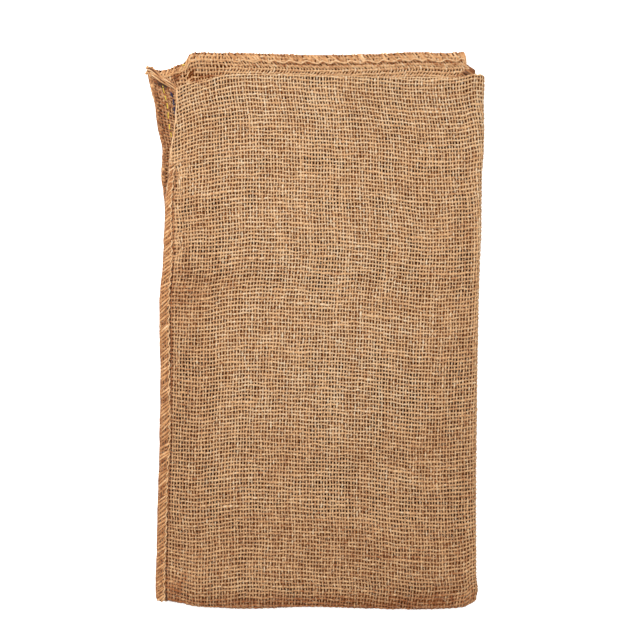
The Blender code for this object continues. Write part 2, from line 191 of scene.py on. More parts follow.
# places where the yarns are wider than elsewhere and close the holes, as a share of their width
DENSER = (
    Spot(x=-144, up=376, along=50, across=6, turn=90, amount=0.5),
    Spot(x=-143, up=24, along=20, across=8, turn=20, amount=0.5),
    Spot(x=150, up=6, along=12, across=6, turn=0, amount=0.35),
    Spot(x=-138, up=448, along=14, across=9, turn=60, amount=0.4),
    Spot(x=163, up=280, along=240, across=3, turn=90, amount=0.3),
    Spot(x=-115, up=562, along=16, across=8, turn=0, amount=0.35),
    Spot(x=-20, up=410, along=40, across=12, turn=5, amount=0.12),
    Spot(x=60, up=90, along=60, across=14, turn=-20, amount=0.15),
    Spot(x=-105, up=35, along=75, across=40, turn=0, amount=0.09),
)
# where the wefts beside the front's rolled edge climb towards it, in millimetres, placed by across and up
CURLS = (
    Spot(x=0, up=452, along=8, across=14, turn=0, amount=6.0),
    Spot(x=0, up=428, along=7, across=10, turn=0, amount=4.0),
)
# where the front's weave is ruffled, in millimetres, placed by across and up
RUFFLES = (
    Spot(x=18, up=438, along=26, across=18, turn=30, amount=2.4),
    Spot(x=14, up=368, along=50, across=7, turn=90, amount=1.8),
    Spot(x=20, up=26, along=20, across=14, turn=0, amount=1.6),
    Spot(x=150, up=270, along=90, across=60, turn=20, amount=0.5),
)
EDGE_SOFT = 30.0  # how far in from its edges the pack sinks
EDGE_DROOP = 0.10  # and by what share of its height at most
LEVEL_FROM, LEVEL_TO = 370.0, 450.0  # the creases fade out between these
ROLL_X, ROLL_REACH, ROLL_RISE = -122.0, 17.0, 4.0  # the roll in the far wall's mouth, and how high it is
ROLL_FROM, ROLL_TO = 541.0, 556.0  # where it begins, and where it has its full height

# ---- the weave ---------------------------------------------------------------------------------------
WARP_PITCH = 3.08  # warps run along the sack, wefts across it
WEFT_PITCH = 4.06
WARP_HALF = 0.93  # half the width of a yarn
WEFT_HALF = 1.33
YARN_FLAT = 0.55  # a yarn's height as a share of its width
TWINE_FLAT = 0.62
CLEARANCE = 0.78  # how high a strand's middle stays above the surface, as a share of its half width
WARP_CRIMP = 0.42  # how far a yarn swings over and under the middle of the weave
WEFT_CRIMP = 0.30
YARN_DEPTH = 0.5  # how far that middle lies below the solid's face
UNDERLAY = 0.8  # how far the sheet under the yarns lies below it

# The front's weave isn't straight. Each weft rises and falls in the same waves across the sack, it is
# pulled up or down beside the sewn edge, and the warps sway together on their way up.
WeftWave = namedtuple("WeftWave", "across rise")
WEFT_WAVES = (
    WeftWave(across=40, rise=0.0),
    WeftWave(across=65, rise=2.7),
    WeftWave(across=90, rise=4.7),
    WeftWave(across=105, rise=4.5),
    WeftWave(across=155, rise=2.2),
    WeftWave(across=209, rise=-0.6),
    WeftWave(across=240, rise=-4.5),
    WeftWave(across=268, rise=-7.9),
    WeftWave(across=285, rise=-8.4),
    WeftWave(across=300, rise=-7.7),
    WeftWave(across=316, rise=-6.4),
    WeftWave(across=335, rise=-4.0),
)
# pull is the wefts' fall towards the sewn edge, per millimetre, and band how wide its overcasting shows
Sway = namedtuple("Sway", "up sway pull band")
SWAYS = (
    Sway(up=0, sway=0.0, pull=-0.12, band=7.3),
    Sway(up=50, sway=0.0, pull=-0.12, band=7.9),
    Sway(up=105, sway=-2.0, pull=-0.11, band=8.2),
    Sway(up=180, sway=-2.6, pull=-0.13, band=9.0),
    Sway(up=222, sway=-2.1, pull=-0.14, band=8.3),
    Sway(up=300, sway=-0.2, pull=0.0, band=8.6),
    Sway(up=360, sway=0.8, pull=0.05, band=7.6),
    Sway(up=393, sway=-0.5, pull=0.10, band=6.0),
    Sway(up=438, sway=-3.8, pull=0.30, band=5.0),
    Sway(up=461, sway=-6.0, pull=0.36, band=4.0),
    Sway(up=490, sway=-10.0, pull=0.32, band=4.0),
    Sway(up=540, sway=-17.0, pull=0.22, band=4.0),
)
PULL_REACH = 40.0  # how far in from the sewn edge the wefts are pulled


# ======================================================================================================
# The fold map
# ======================================================================================================


def blend(low, high, share):
    return low + (high - low) * share


def smooth(share):
    share = np.clip(share, 0.0, 1.0)
    return share * share * (3 - 2 * share)


def half_wave(turn):
    """From 0 to 1 as a fold turns from 0 to half a circle."""
    return (1 - np.cos(turn)) / 2


def curve_of(table, name):
    """A column of a table as a function of its first column: a curve through the rows without overshoot."""
    keys = np.array([row[0] for row in table], float)
    values = np.array([getattr(row, name) for row in table], float)
    steps = np.diff(values) / np.diff(keys)
    before, after = steps[:-1], steps[1:]
    one_way = before * after > 0
    slopes = np.zeros(len(keys))
    slopes[1:-1][one_way] = (2 * before * after)[one_way] / (before + after)[one_way]

    def read(at):
        at = np.clip(at, keys[0], keys[-1])
        k = np.clip(np.searchsorted(keys, at, side="right") - 1, 0, len(keys) - 2)
        span = keys[k + 1] - keys[k]
        f = (at - keys[k]) / span
        return (
            values[k] * (1 + 2 * f) * (1 - f) ** 2
            + values[k + 1] * f * f * (3 - 2 * f)
            + span * f * (1 - f) * (slopes[k] * (1 - f) - slopes[k + 1] * f)
        )

    return read


edge_line = {name: curve_of(EDGES, name) for name in Edge._fields[1:]}
end_line = {name: curve_of(ENDS, name) for name in End._fields[1:]}
weft_rise = curve_of(WEFT_WAVES, "rise")
warp_sway, edge_pull, band_width = (curve_of(SWAYS, name) for name in Sway._fields[1:])


def sum_of_spots(spots, x, up):
    total = 0.0
    for spot in spots:
        turn = math.radians(spot.turn)
        dx, dy = x - spot.x, up - spot.up
        along = (dx * math.cos(turn) + dy * math.sin(turn)) / spot.along
        across = (dy * math.cos(turn) - dx * math.sin(turn)) / spot.across
        total = total + spot.amount * np.exp(-along * along - across * across)
    return total


def pack_scale(x, up):
    """How much higher or lower the pack is at a place than its even height."""
    left, right = edge_line["front_seam"](up), edge_line["front_fold"](up)
    edge = smooth(np.minimum(np.minimum(x - left, right - x), up) / EDGE_SOFT)
    uneven = 1 - EDGE_DROOP * (1 - edge) + sum_of_spots(CREASES, x, up) / PACK_HEIGHT
    return blend(uneven, 1 - EDGE_DROOP / 2, smooth((up - LEVEL_FROM) / (LEVEL_TO - LEVEL_FROM)))


def fold(across, along, depth, wall_b=False):
    """Where points of the flat cloth lie in the folded pack, in the frame's metres.

    across counts from the top third's sewn edge round both folds, along from the sack's bottom round the
    half fold to the mouth, and depth from wall A's outer face through to wall B's outer face. Below 0,
    along goes round the sack's bottom from wall A into wall B.
    """
    across, along, depth = np.broadcast_arrays(*(np.asarray(v, float) for v in (across, along, depth)))
    right_turn = np.clip((across - FLAT_WIDTH) / FOLD_REACH, 0, math.pi)
    left_turn = np.clip((across - LEFT_FOLD_START) / FOLD_REACH, 0, math.pi)
    half_turn = np.clip((along - FRONT_CLOTH) / HALF_STACK, 0, math.pi)
    third = half_wave(right_turn) + half_wave(left_turn)
    to_mouth = half_wave(half_turn)
    on_mouth = along > MOUTH_START

    def by_third(top, middle, bottom):
        return np.where(third <= 1, blend(top, middle, third), blend(middle, bottom, third - 1))

    bottom_turn = np.clip(-along / BOTTOM_RADIUS, 0, math.pi)
    from_middle = BOTTOM_RADIUS - depth
    depth = BOTTOM_RADIUS - from_middle * np.cos(bottom_turn)
    up = np.where(along < FRONT_CLOTH, FRONT_LENGTH - along, HALF_STACK + np.maximum(0, along - MOUTH_START))
    inside = np.maximum(0, -along - math.pi * BOTTOM_RADIUS)
    up = np.where(along < 0, FRONT_LENGTH + from_middle * np.sin(bottom_turn) - inside, up)

    middle_place = np.clip(FLAT_WIDTH - (across - RIGHT_FOLD_END), UNDER_START, FLAT_WIDTH)
    last_place = UNDER_START + np.maximum(0, across - LEFT_FOLD_END)
    under_place = np.where(across < LEFT_FOLD_END, middle_place, last_place)
    under_share = (under_place - UNDER_START) / (FLAT_WIDTH - UNDER_START)

    def across_the_pack(height):
        seam = blend(edge_line["front_seam"](height), edge_line["mouth_seam"](height), to_mouth)
        right = blend(edge_line["front_fold"](height), edge_line["mouth_fold"](height), to_mouth) - FOLD_REACH
        under = edge_line["under_fold"](height) + FOLD_REACH
        top_third = blend(seam, right, across / FLAT_WIDTH)
        return np.where(across <= FLAT_WIDTH, top_third, blend(under, right, under_share))

    x = across_the_pack(up)
    low = end_line["half_fold"](x) + by_third(0.0, UNDER_INSET, UNDER_INSET / 2)
    front_end = end_line["bottom"](x) - by_third(0.0, UNDER_SHORTER, UNDER_SHORTER)
    shown = end_line["near_mouth" if wall_b else "far_mouth"](x)
    mouth_end = by_third(shown, end_line["inner_mouth"](x), end_line["under_mouth"](x))
    length = np.where(on_mouth, MOUTH_LENGTH, FRONT_LENGTH)
    shift = np.where(on_mouth, mouth_end, front_end) - length
    to_end = np.maximum(0, (up - ENDS_BEGIN) / (length - ENDS_BEGIN))
    y = up + low * np.maximum(0, 1 - up / HALF_FOLD_FADES) + shift * to_end
    x = across_the_pack(y)

    # the rim of the mouth is thicker where no ply lies on it
    swell = np.where(on_mouth, np.interp(MOUTH_LENGTH - up, (0, RIM_BAND / 2, RIM_BAND), (0.6, 1, 0)), 0)
    beyond_front = np.maximum(y - end_line["bottom"](x), edge_line["front_seam"](y) - x)
    swell = swell * blend(smooth((beyond_front - 2) / 8), 1, np.minimum(third, 1))

    half_radius = HALF_STACK - depth * (1 + RIM_SWELL * swell)
    level = half_radius * np.cos(half_turn)
    y = y - half_radius * np.sin(half_turn)
    scale = pack_scale(x, y)

    # the sewn band on the front, and the roll in the far wall's mouth
    on_top = np.clip(1 - 2 * third, 0, 1)
    band = np.clip(1 - ((across - SEAM_BAND / 2) / (SEAM_BAND / 2)) ** 2, 0, 1)
    rise = SEAM_RISE * band * smooth(1 - depth / PLY) * np.clip(np.cos(half_turn), 0, 1) * on_top
    if not wall_b:
        near_roll = np.exp(-(((x - ROLL_X) / ROLL_REACH) ** 2))
        roll = ROLL_RISE * near_roll * smooth((y - ROLL_FROM) / (ROLL_TO - ROLL_FROM))
        rise = rise + np.where(on_mouth, roll, 0) * on_top

    over = THIRDS_APART / 2 + HALF_STACK + level
    below = THIRDS_APART / 2 + HALF_STACK - level
    lower_centre = FOLD_REACH
    upper_centre = lower_centre + THIRDS_APART + 2 * HALF_STACK
    upper = across < LEFT_FOLD_START
    x = np.where(upper, x + over * np.sin(right_turn), x - below * np.sin(left_turn))
    z = np.where(
        upper, upper_centre + over * np.cos(right_turn) + rise, lower_centre + below * np.cos(left_turn)
    )
    return np.stack((x - OUTLINE_MIDDLE_X, y - OUTLINE_MIDDLE_UP, z * scale), -1) * MM


def fold_with_up(across, along, depth, wall_b, outward):
    """Folded points, and the way out of the cloth there: outward is -1 towards wall A's outer side."""
    reach = 0.5
    points = fold(across, along, depth, wall_b)
    run_across = fold(across + reach, along, depth, wall_b) - fold(across - reach, along, depth, wall_b)
    run_along = fold(across, along + reach, depth, wall_b) - fold(across, along - reach, depth, wall_b)
    up = outward * np.cross(run_across, run_along)
    return points, up / np.maximum(np.linalg.norm(up, axis=-1, keepdims=True), 1e-12)


def outline_place(points):
    """Where folded points lie on the plane that the outline's and the spots' tables are in."""
    return points[..., 0] / MM + OUTLINE_MIDDLE_X, points[..., 1] / MM + OUTLINE_MIDDLE_UP


def soft_noise(u, v, cell, seed):
    """Smooth noise from -1 to 1 over a plane, with bumps about a cell across."""
    table = np.random.default_rng(seed).uniform(-1, 1, (128, 128))
    size = len(table)
    u, v = np.broadcast_arrays(np.asarray(u, float) / cell, np.asarray(v, float) / cell)
    iu, iv = np.floor(u).astype(int), np.floor(v).astype(int)
    fu, fv = smooth(u - iu), smooth(v - iv)
    near = blend(table[iu % size, iv % size], table[(iu + 1) % size, iv % size], fu)
    far = blend(table[iu % size, (iv + 1) % size], table[(iu + 1) % size, (iv + 1) % size], fu)
    return blend(near, far, fv)


def line_noise(line, place, cell, seed):
    """Noise along each line, with no likeness between one line and the next."""
    return soft_noise(np.asarray(line) * cell, place, cell, seed)


# ======================================================================================================
# Materials
# ======================================================================================================


def add_node(tree, kind, **settings):
    node = tree.nodes.new(kind)
    for name, value in settings.items():
        if name in node.inputs:
            node.inputs[name].default_value = value
        else:
            setattr(node, name, value)
    return node


def math_node(tree, operation, first, second=None):
    """A Math node's output, from links or plain numbers."""
    node = add_node(tree, "ShaderNodeMath", operation=operation)
    for socket, value in zip(node.inputs, (first, second)):
        if isinstance(value, bpy.types.NodeSocket):
            tree.links.new(value, socket)
        elif value is not None:
            socket.default_value = value
    return node.outputs[0]


def range_node(tree, value, low, high, out_low=0.0, out_high=1.0, soft=True):
    node = add_node(tree, "ShaderNodeMapRange", interpolation_type="SMOOTHSTEP" if soft else "LINEAR")
    tree.links.new(value, node.inputs["Value"])
    for name, number in (("From Min", low), ("From Max", high), ("To Min", out_low), ("To Max", out_high)):
        node.inputs[name].default_value = number
    return node.outputs["Result"]


def mix_colours(tree, share, first, second):
    """A Mix node's colour, from links or plain values. Sockets 0, 6 and 7 are its factor and two colours."""
    node = add_node(tree, "ShaderNodeMix", data_type="RGBA")
    for socket, value in zip((node.inputs[0], node.inputs[6], node.inputs[7]), (share, first, second)):
        if isinstance(value, bpy.types.NodeSocket):
            tree.links.new(value, socket)
        else:
            socket.default_value = value
    return node.outputs[2]


def shader_group(name, inputs, outputs):
    """A new shader node group, with its input and output nodes."""
    group = bpy.data.node_groups.new(name, "ShaderNodeTree")
    for label, kind, default in inputs:
        socket = group.interface.new_socket(name=label, in_out="INPUT", socket_type=kind)
        if default is not None:
            socket.default_value = default
    for label, kind in outputs:
        group.interface.new_socket(name=label, in_out="OUTPUT", socket_type=kind)
    return group, group.nodes.new("NodeGroupInput"), group.nodes.new("NodeGroupOutput")


def make_jute_fibre_group():
    """Jute's colour and bump on a yarn: its own tone with painted shade in it, fibre streaks, and larger
    faded or brown patches.
    """
    group, entry, result = shader_group(
        "Jute fibre",
        (
            ("Fibre place", "NodeSocketVector", None),
            ("Tone", "NodeSocketFloat", 0.5),
            ("Dark jute", "NodeSocketColor", (0.18, 0.052, 0.010, 1)),
            ("Mid jute", "NodeSocketColor", (0.415, 0.242, 0.115, 1)),
            ("Pale jute", "NodeSocketColor", (0.50, 0.41, 0.29, 1)),
            ("Streak", "NodeSocketFloat", 0.35),
            ("Patch", "NodeSocketFloat", 0.12),
            ("Bump", "NodeSocketFloat", 0.5),
        ),
        (("Color", "NodeSocketColor"), ("Roughness", "NodeSocketFloat"), ("Normal", "NodeSocketVector")),
    )
    place = add_node(group, "ShaderNodeTexCoord").outputs["Object"]
    streaks = add_node(group, "ShaderNodeTexNoise", Scale=1.0, Detail=3.0, Roughness=0.6)
    group.links.new(entry.outputs["Fibre place"], streaks.inputs["Vector"])
    patches = add_node(group, "ShaderNodeTexNoise", Scale=26.0, Detail=2.0, Roughness=0.5)
    group.links.new(place, patches.inputs["Vector"])
    streak = math_node(group, "SUBTRACT", streaks.outputs["Fac"], 0.5)
    patch = math_node(group, "SUBTRACT", patches.outputs["Fac"], 0.5)
    streak = math_node(group, "MULTIPLY", streak, entry.outputs["Streak"])
    patch = math_node(group, "MULTIPLY", patch, entry.outputs["Patch"])
    tone = math_node(group, "ADD", math_node(group, "ADD", entry.outputs["Tone"], streak), patch)
    # below 0 the tone goes on from dark jute towards a pocket's black: painted shadow
    shown = range_node(group, tone, 0.0, 0.5, soft=False)
    deep = range_node(group, tone, -0.5, 0.0, soft=False)
    dark = mix_colours(group, deep, (0.025, 0.008, 0.002, 1), entry.outputs["Dark jute"])
    darker = mix_colours(group, shown, dark, entry.outputs["Mid jute"])
    faded = range_node(group, tone, 0.5, 1.0, soft=False)
    colour = mix_colours(group, faded, darker, entry.outputs["Pale jute"])
    roughness = range_node(group, streaks.outputs["Fac"], 0.3, 0.7, 0.95, 0.82)
    bump = add_node(group, "ShaderNodeBump", Distance=0.0004)
    group.links.new(streaks.outputs["Fac"], bump.inputs["Height"])
    group.links.new(entry.outputs["Bump"], bump.inputs["Strength"])
    group.links.new(colour, result.inputs["Color"])
    group.links.new(roughness, result.inputs["Roughness"])
    group.links.new(bump.outputs["Normal"], result.inputs["Normal"])
    return group


def make_plain_weave_group():
    """A plain weave on the cloth's own millimetres in painted shade: yarns over and under, painted shadow
    between.
    """
    group, entry, result = shader_group(
        "Plain weave",
        (
            ("Across", "NodeSocketFloat", 0.0),
            ("Along", "NodeSocketFloat", 0.0),
            ("Warp pitch", "NodeSocketFloat", WARP_PITCH),
            ("Weft pitch", "NodeSocketFloat", WEFT_PITCH),
            ("Gap colour", "NodeSocketColor", (0.006, 0.0015, 0.0005, 1)),
            ("Dark jute", "NodeSocketColor", (0.012, 0.003, 0.001, 1)),
            ("Pale jute", "NodeSocketColor", (0.11, 0.032, 0.007, 1)),
            ("Bump", "NodeSocketFloat", 0.8),
        ),
        (("Color", "NodeSocketColor"), ("Roughness", "NodeSocketFloat"), ("Normal", "NodeSocketVector")),
    )
    place = add_node(group, "ShaderNodeTexCoord").outputs["Object"]
    wander = add_node(group, "ShaderNodeTexNoise", Scale=70.0, Detail=1.0)
    group.links.new(place, wander.inputs["Vector"])
    drift = math_node(group, "MULTIPLY", math_node(group, "SUBTRACT", wander.outputs["Fac"], 0.5), 3.0)
    waves = []
    for label, pitch in (("Across", "Warp pitch"), ("Along", "Weft pitch")):
        moved = math_node(group, "ADD", entry.outputs[label], drift)
        count = math_node(group, "DIVIDE", moved, entry.outputs[pitch])
        waves.append(math_node(group, "COSINE", math_node(group, "MULTIPLY", count, math.pi)))
    warp = range_node(group, math_node(group, "ABSOLUTE", waves[0]), 0.42, 0.85)
    weft = range_node(group, math_node(group, "ABSOLUTE", waves[1]), 0.42, 0.85)
    swing = math_node(group, "MULTIPLY", waves[0], waves[1])
    warp_high = math_node(group, "MULTIPLY", warp, range_node(group, swing, -1.0, 1.0, 0.45, 1.0, soft=False))
    weft_high = math_node(group, "MULTIPLY", weft, range_node(group, swing, -1.0, 1.0, 1.0, 0.45, soft=False))
    height = math_node(group, "MAXIMUM", warp_high, weft_high)
    tones = add_node(group, "ShaderNodeTexNoise", Scale=160.0, Detail=2.0)
    group.links.new(place, tones.inputs["Vector"])
    # painted shade: the weave is darker where it lies lower, with a little random tone
    lit = math_node(group, "MULTIPLY", height, range_node(group, tones.outputs["Fac"], 0.3, 0.7, 0.55, 1.0))
    jute = mix_colours(group, lit, entry.outputs["Dark jute"], entry.outputs["Pale jute"])
    # painted shadow: the gap colour where no yarn covers the sheet
    covered = range_node(group, height, 0.05, 0.4)
    group.links.new(mix_colours(group, covered, entry.outputs["Gap colour"], jute), result.inputs["Color"])
    bump = add_node(group, "ShaderNodeBump", Distance=0.0006)
    group.links.new(height, bump.inputs["Height"])
    group.links.new(entry.outputs["Bump"], bump.inputs["Strength"])
    group.links.new(range_node(group, height, 0.0, 1.0, 1.0, 0.86), result.inputs["Roughness"])
    group.links.new(bump.outputs["Normal"], result.inputs["Normal"])
    return group


def new_material(name):
    material = bpy.data.materials.new(name)
    material.use_nodes = True
    shader = material.node_tree.nodes["Principled BSDF"]
    shader.inputs["Metallic"].default_value = 0.0
    shader.inputs["Specular IOR Level"].default_value = 0.25
    shader.inputs["Sheen Weight"].default_value = 0.12
    shader.inputs["Sheen Roughness"].default_value = 0.6
    shader.inputs["Sheen Tint"].default_value = (0.95, 0.80, 0.62, 1)
    return material, shader


def attribute(tree, name):
    return add_node(tree, "ShaderNodeAttribute", attribute_name=name)


def dress_with(material, shader, group_node):
    for name, socket in (("Color", "Base Color"), ("Roughness", "Roughness"), ("Normal", "Normal")):
        material.node_tree.links.new(group_node.outputs[name], shader.inputs[socket])


def yarn_material(name, fibre_group, stretch, **values):
    """Spun jute. stretch is how fine the fibres' streaks are along X, Y and Z, per metre.

    Its tone is the yarns' own attribute, unless values gives one for all.
    """
    material, shader = new_material(name)
    tree = material.node_tree
    place = add_node(tree, "ShaderNodeTexCoord").outputs["Object"]
    mapping = add_node(tree, "ShaderNodeMapping", Scale=stretch)
    tree.links.new(place, mapping.inputs["Vector"])
    fibre = add_node(tree, "ShaderNodeGroup", node_tree=fibre_group)
    tree.links.new(mapping.outputs["Vector"], fibre.inputs["Fibre place"])
    if "tone" not in values:
        tree.links.new(attribute(tree, "tone").outputs["Fac"], fibre.inputs["Tone"])
    for label, value in values.items():
        fibre.inputs[label.replace("_", " ").capitalize()].default_value = value
    dress_with(material, shader, fibre)
    return material


def cloth_material(name, weave_group):
    """Matt cloth in painted shade, dark as shadowed plies, for the sheet that only shows between the yarns on
    it.
    """
    material, shader = new_material(name)
    shader.inputs["Specular IOR Level"].default_value = 0.0
    shader.inputs["Sheen Weight"].default_value = 0.0
    tree = material.node_tree
    weave = add_node(tree, "ShaderNodeGroup", node_tree=weave_group)
    for label, stored in (("Across", "across_cloth"), ("Along", "along_cloth")):
        tree.links.new(attribute(tree, stored).outputs["Fac"], weave.inputs[label])
    dress_with(material, shader, weave)
    return material


# ======================================================================================================
# The sheet under the yarns
# ======================================================================================================


def evenly(start, stop, step):
    """Places from start to stop, both kept, about a step apart."""
    return np.linspace(start, stop, max(2, round((stop - start) / step) + 1))


def join_places(*stretches):
    """One rising list of places from stretches that share their ends."""
    return np.unique(np.round(np.concatenate(stretches), 4))


def underlay_places():
    """Columns across and rows along the cloth, close together round each fold and rim."""
    flat_step, fold_step, band_step = 12.0, 2.2, 2.5
    half_fold_step = 1.2
    bottom_reach, bottom_step = 12.0, 4.0
    columns = join_places(
        evenly(0, SEAM_BAND, band_step),
        evenly(SEAM_BAND, FLAT_WIDTH, flat_step),
        evenly(FLAT_WIDTH, RIGHT_FOLD_END, fold_step),
        evenly(RIGHT_FOLD_END, LEFT_FOLD_START, flat_step),
        evenly(LEFT_FOLD_START, LEFT_FOLD_END, fold_step),
        evenly(LEFT_FOLD_END, SACK_ACROSS - SEAM_BAND, flat_step),
        evenly(SACK_ACROSS - SEAM_BAND, SACK_ACROSS, band_step),
    )
    rows = join_places(
        evenly(0, bottom_reach, bottom_step),
        evenly(bottom_reach, FRONT_CLOTH, flat_step),
        evenly(FRONT_CLOTH, MOUTH_START, half_fold_step),
        evenly(MOUTH_START, SACK_ALONG - 2 * RIM_BAND, flat_step),
        evenly(SACK_ALONG - 2 * RIM_BAND, SACK_ALONG, band_step),
    )
    return columns, rows


def make_underlay(material):
    """The cloth as one closed thin sheet on the solid's folds, a little below the face of the yarns."""
    columns, rows = underlay_places()
    points, cloth_places, faces = [], [], []

    def add_points(across, along, depth, wall_b):
        """Adds a block of points and gives their numbers, in the block's shape."""
        across, along = np.broadcast_arrays(np.asarray(across, float), np.asarray(along, float))
        first = sum(len(block) for block in points)
        points.append(fold(across, along, depth, wall_b).reshape(-1, 3))
        cloth_places.append(np.stack((across.ravel(), along.ravel()), -1))
        return first + np.arange(across.size).reshape(across.shape)

    def cover(grid):
        corners = (grid[:-1, :-1], grid[1:, :-1], grid[1:, 1:], grid[:-1, 1:])
        faces.extend(np.stack([corner.ravel() for corner in corners], -1).tolist())

    def bridge(first, second):
        cover(np.stack((first, second)))

    outer_a = add_points(columns[:, None], rows[None], UNDERLAY, False)
    outer_b = add_points(columns[:, None], rows[None], BOTH_WALLS - UNDERLAY, True)
    in_seams = (columns >= SEAM_BAND - 0.01) & (columns <= SACK_ACROSS - SEAM_BAND + 0.01)
    first_inside = int(np.argmax(in_seams))
    last_inside = len(columns) - 1 - int(np.argmax(in_seams[::-1]))
    open_columns = columns[in_seams][:, None]
    inner_a = add_points(open_columns, rows[None], PLY, False)
    inner_b = add_points(open_columns, rows[None], PLY + WALLS_APART, True)
    for grid in (outer_a, outer_b, inner_a, inner_b):
        cover(grid)

    # closed edges: the two side seams and the sack's bottom
    quarter = -BOTTOM_RADIUS * math.pi / 2
    left = add_points(-EDGE_NOSE / 2, rows, BOTTOM_RADIUS, False)
    right = add_points(SACK_ACROSS + EDGE_NOSE / 2, rows, BOTTOM_RADIUS, False)
    nose = add_points(columns[1:-1], quarter, UNDERLAY, False)
    nose = np.concatenate((left[:1], nose, right[:1]))
    for grid in (outer_a, outer_b):
        bridge(grid[0], left)
        bridge(grid[-1], right)
        bridge(grid[:, 0], nose)

    # the space between the walls ends at the seams and at the bottom
    bridge(inner_a[0], inner_b[0])
    bridge(inner_a[-1], inner_b[-1])
    bridge(inner_a[:, 0], inner_b[:, 0])

    # the rim of the mouth, and the side seams' ends in it
    bridge(outer_a[first_inside : last_inside + 1, -1], inner_a[:, -1])
    bridge(outer_b[first_inside : last_inside + 1, -1], inner_b[:, -1])
    for end, edge_nose, steps in (
        (0, left, range(0, first_inside + 1)),
        (-1, right, range(-1, last_inside - len(columns) - 1, -1)),
    ):
        edge_a = [int(outer_a[k, -1]) for k in steps]
        edge_b = [int(outer_b[k, -1]) for k in steps]
        faces.append((int(edge_nose[-1]), edge_a[0], edge_b[0]))
        for k in range(len(edge_a) - 2):
            faces.append((edge_a[k], edge_a[k + 1], edge_b[k + 1], edge_b[k]))
        inner_edge = [int(inner_a[end, -1]), int(inner_b[end, -1])]
        faces.append((edge_a[-2], edge_a[-1], *inner_edge, edge_b[-1], edge_b[-2]))

    mesh = bpy.data.meshes.new("sack_cloth_sheet")
    mesh.from_pydata(np.concatenate(points).tolist(), [], faces)
    cloth_places = np.concatenate(cloth_places)
    for name, values in (("across_cloth", cloth_places[:, 0]), ("along_cloth", cloth_places[:, 1])):
        mesh.attributes.new(name, "FLOAT", "POINT").data.foreach_set("value", values.astype(np.float32))
    make_solid_outwards(mesh)
    mesh.shade_smooth()
    mesh.set_sharp_from_angle(angle=math.radians(50))
    return add_object("sack_cloth_sheet", mesh, material)


def make_solid_outwards(mesh):
    """Turns every face of a closed mesh to the outside."""
    cloth = bmesh.new()
    cloth.from_mesh(mesh)
    bmesh.ops.recalc_face_normals(cloth, faces=cloth.faces[:])
    if cloth.calc_volume(signed=True) < 0:
        bmesh.ops.reverse_faces(cloth, faces=cloth.faces[:])
    cloth.to_mesh(mesh)
    cloth.free()


def add_object(name, mesh, material):
    mesh.materials.clear()
    mesh.materials.append(material)
    piece = bpy.data.objects.new(name, mesh)
    bpy.context.scene.collection.objects.link(piece)
    return piece


# ======================================================================================================
# Yarns: lines of points that a Geometry Nodes tree spins into yarn
# ======================================================================================================


class Strands:
    """Lines of points with a half width, a way up and a tone at each point. Sizes are in millimetres."""

    def __init__(self):
        self.points, self.links, self.half_width, self.face_up, self.tone = [], [], [], [], []
        self.count = 0

    def add(self, points, half_width, face_up, tone, keep=True):
        """A block of lines: points is lines by places by 3, in metres. keep says which points are used."""
        shape = points.shape[:2]
        half_width = np.broadcast_to(half_width, shape)
        # nothing is pressed below the surface that the sack lies on
        lowest = half_width * CLEARANCE * MM
        points = np.concatenate((points[..., :2], np.maximum(points[..., 2], lowest)[..., None]), -1)
        numbers = self.count + np.arange(shape[0] * shape[1]).reshape(shape)
        keep = np.broadcast_to(keep, shape)
        used = keep[:, :-1] & keep[:, 1:]
        self.links.append(np.stack((numbers[:, :-1][used], numbers[:, 1:][used]), -1))
        self.points.append(points.reshape(-1, 3))
        self.half_width.append(half_width.ravel())
        self.face_up.append(np.broadcast_to(face_up, points.shape).reshape(-1, 3))
        self.tone.append(np.broadcast_to(tone, shape).ravel())
        self.count += shape[0] * shape[1]

    def mesh(self, name):
        used, links = np.unique(np.concatenate(self.links), return_inverse=True)
        mesh = bpy.data.meshes.new(name)
        mesh.from_pydata(np.concatenate(self.points)[used].tolist(), links.reshape(-1, 2).tolist(), [])
        for label, blocks, unit in (("half_width", self.half_width, MM), ("tone", self.tone, 1)):
            values = np.concatenate(blocks)[used].astype(np.float32) * unit
            mesh.attributes.new(label, "FLOAT", "POINT").data.foreach_set("value", values)
        up = np.concatenate(self.face_up)[used].astype(np.float32)
        mesh.attributes.new("face_up", "FLOAT_VECTOR", "POINT").data.foreach_set("vector", up.ravel())
        return mesh


def nodes_tree(name, inputs):
    """A new Geometry Nodes tree with a geometry output, and its input and output nodes."""
    tree = bpy.data.node_groups.new(name, "GeometryNodeTree")
    tree.interface.new_socket(name="Geometry", in_out="INPUT", socket_type="NodeSocketGeometry")
    for label, kind, default in inputs:
        socket = tree.interface.new_socket(name=label, in_out="INPUT", socket_type=kind)
        if default is not None:
            socket.default_value = default
    tree.interface.new_socket(name="Geometry", in_out="OUTPUT", socket_type="NodeSocketGeometry")
    return tree, tree.nodes.new("NodeGroupInput"), tree.nodes.new("NodeGroupOutput")


def named_value(tree, name, kind="FLOAT"):
    node = add_node(tree, "GeometryNodeInputNamedAttribute", data_type=kind)
    node.inputs["Name"].default_value = name
    return node.outputs["Attribute"]


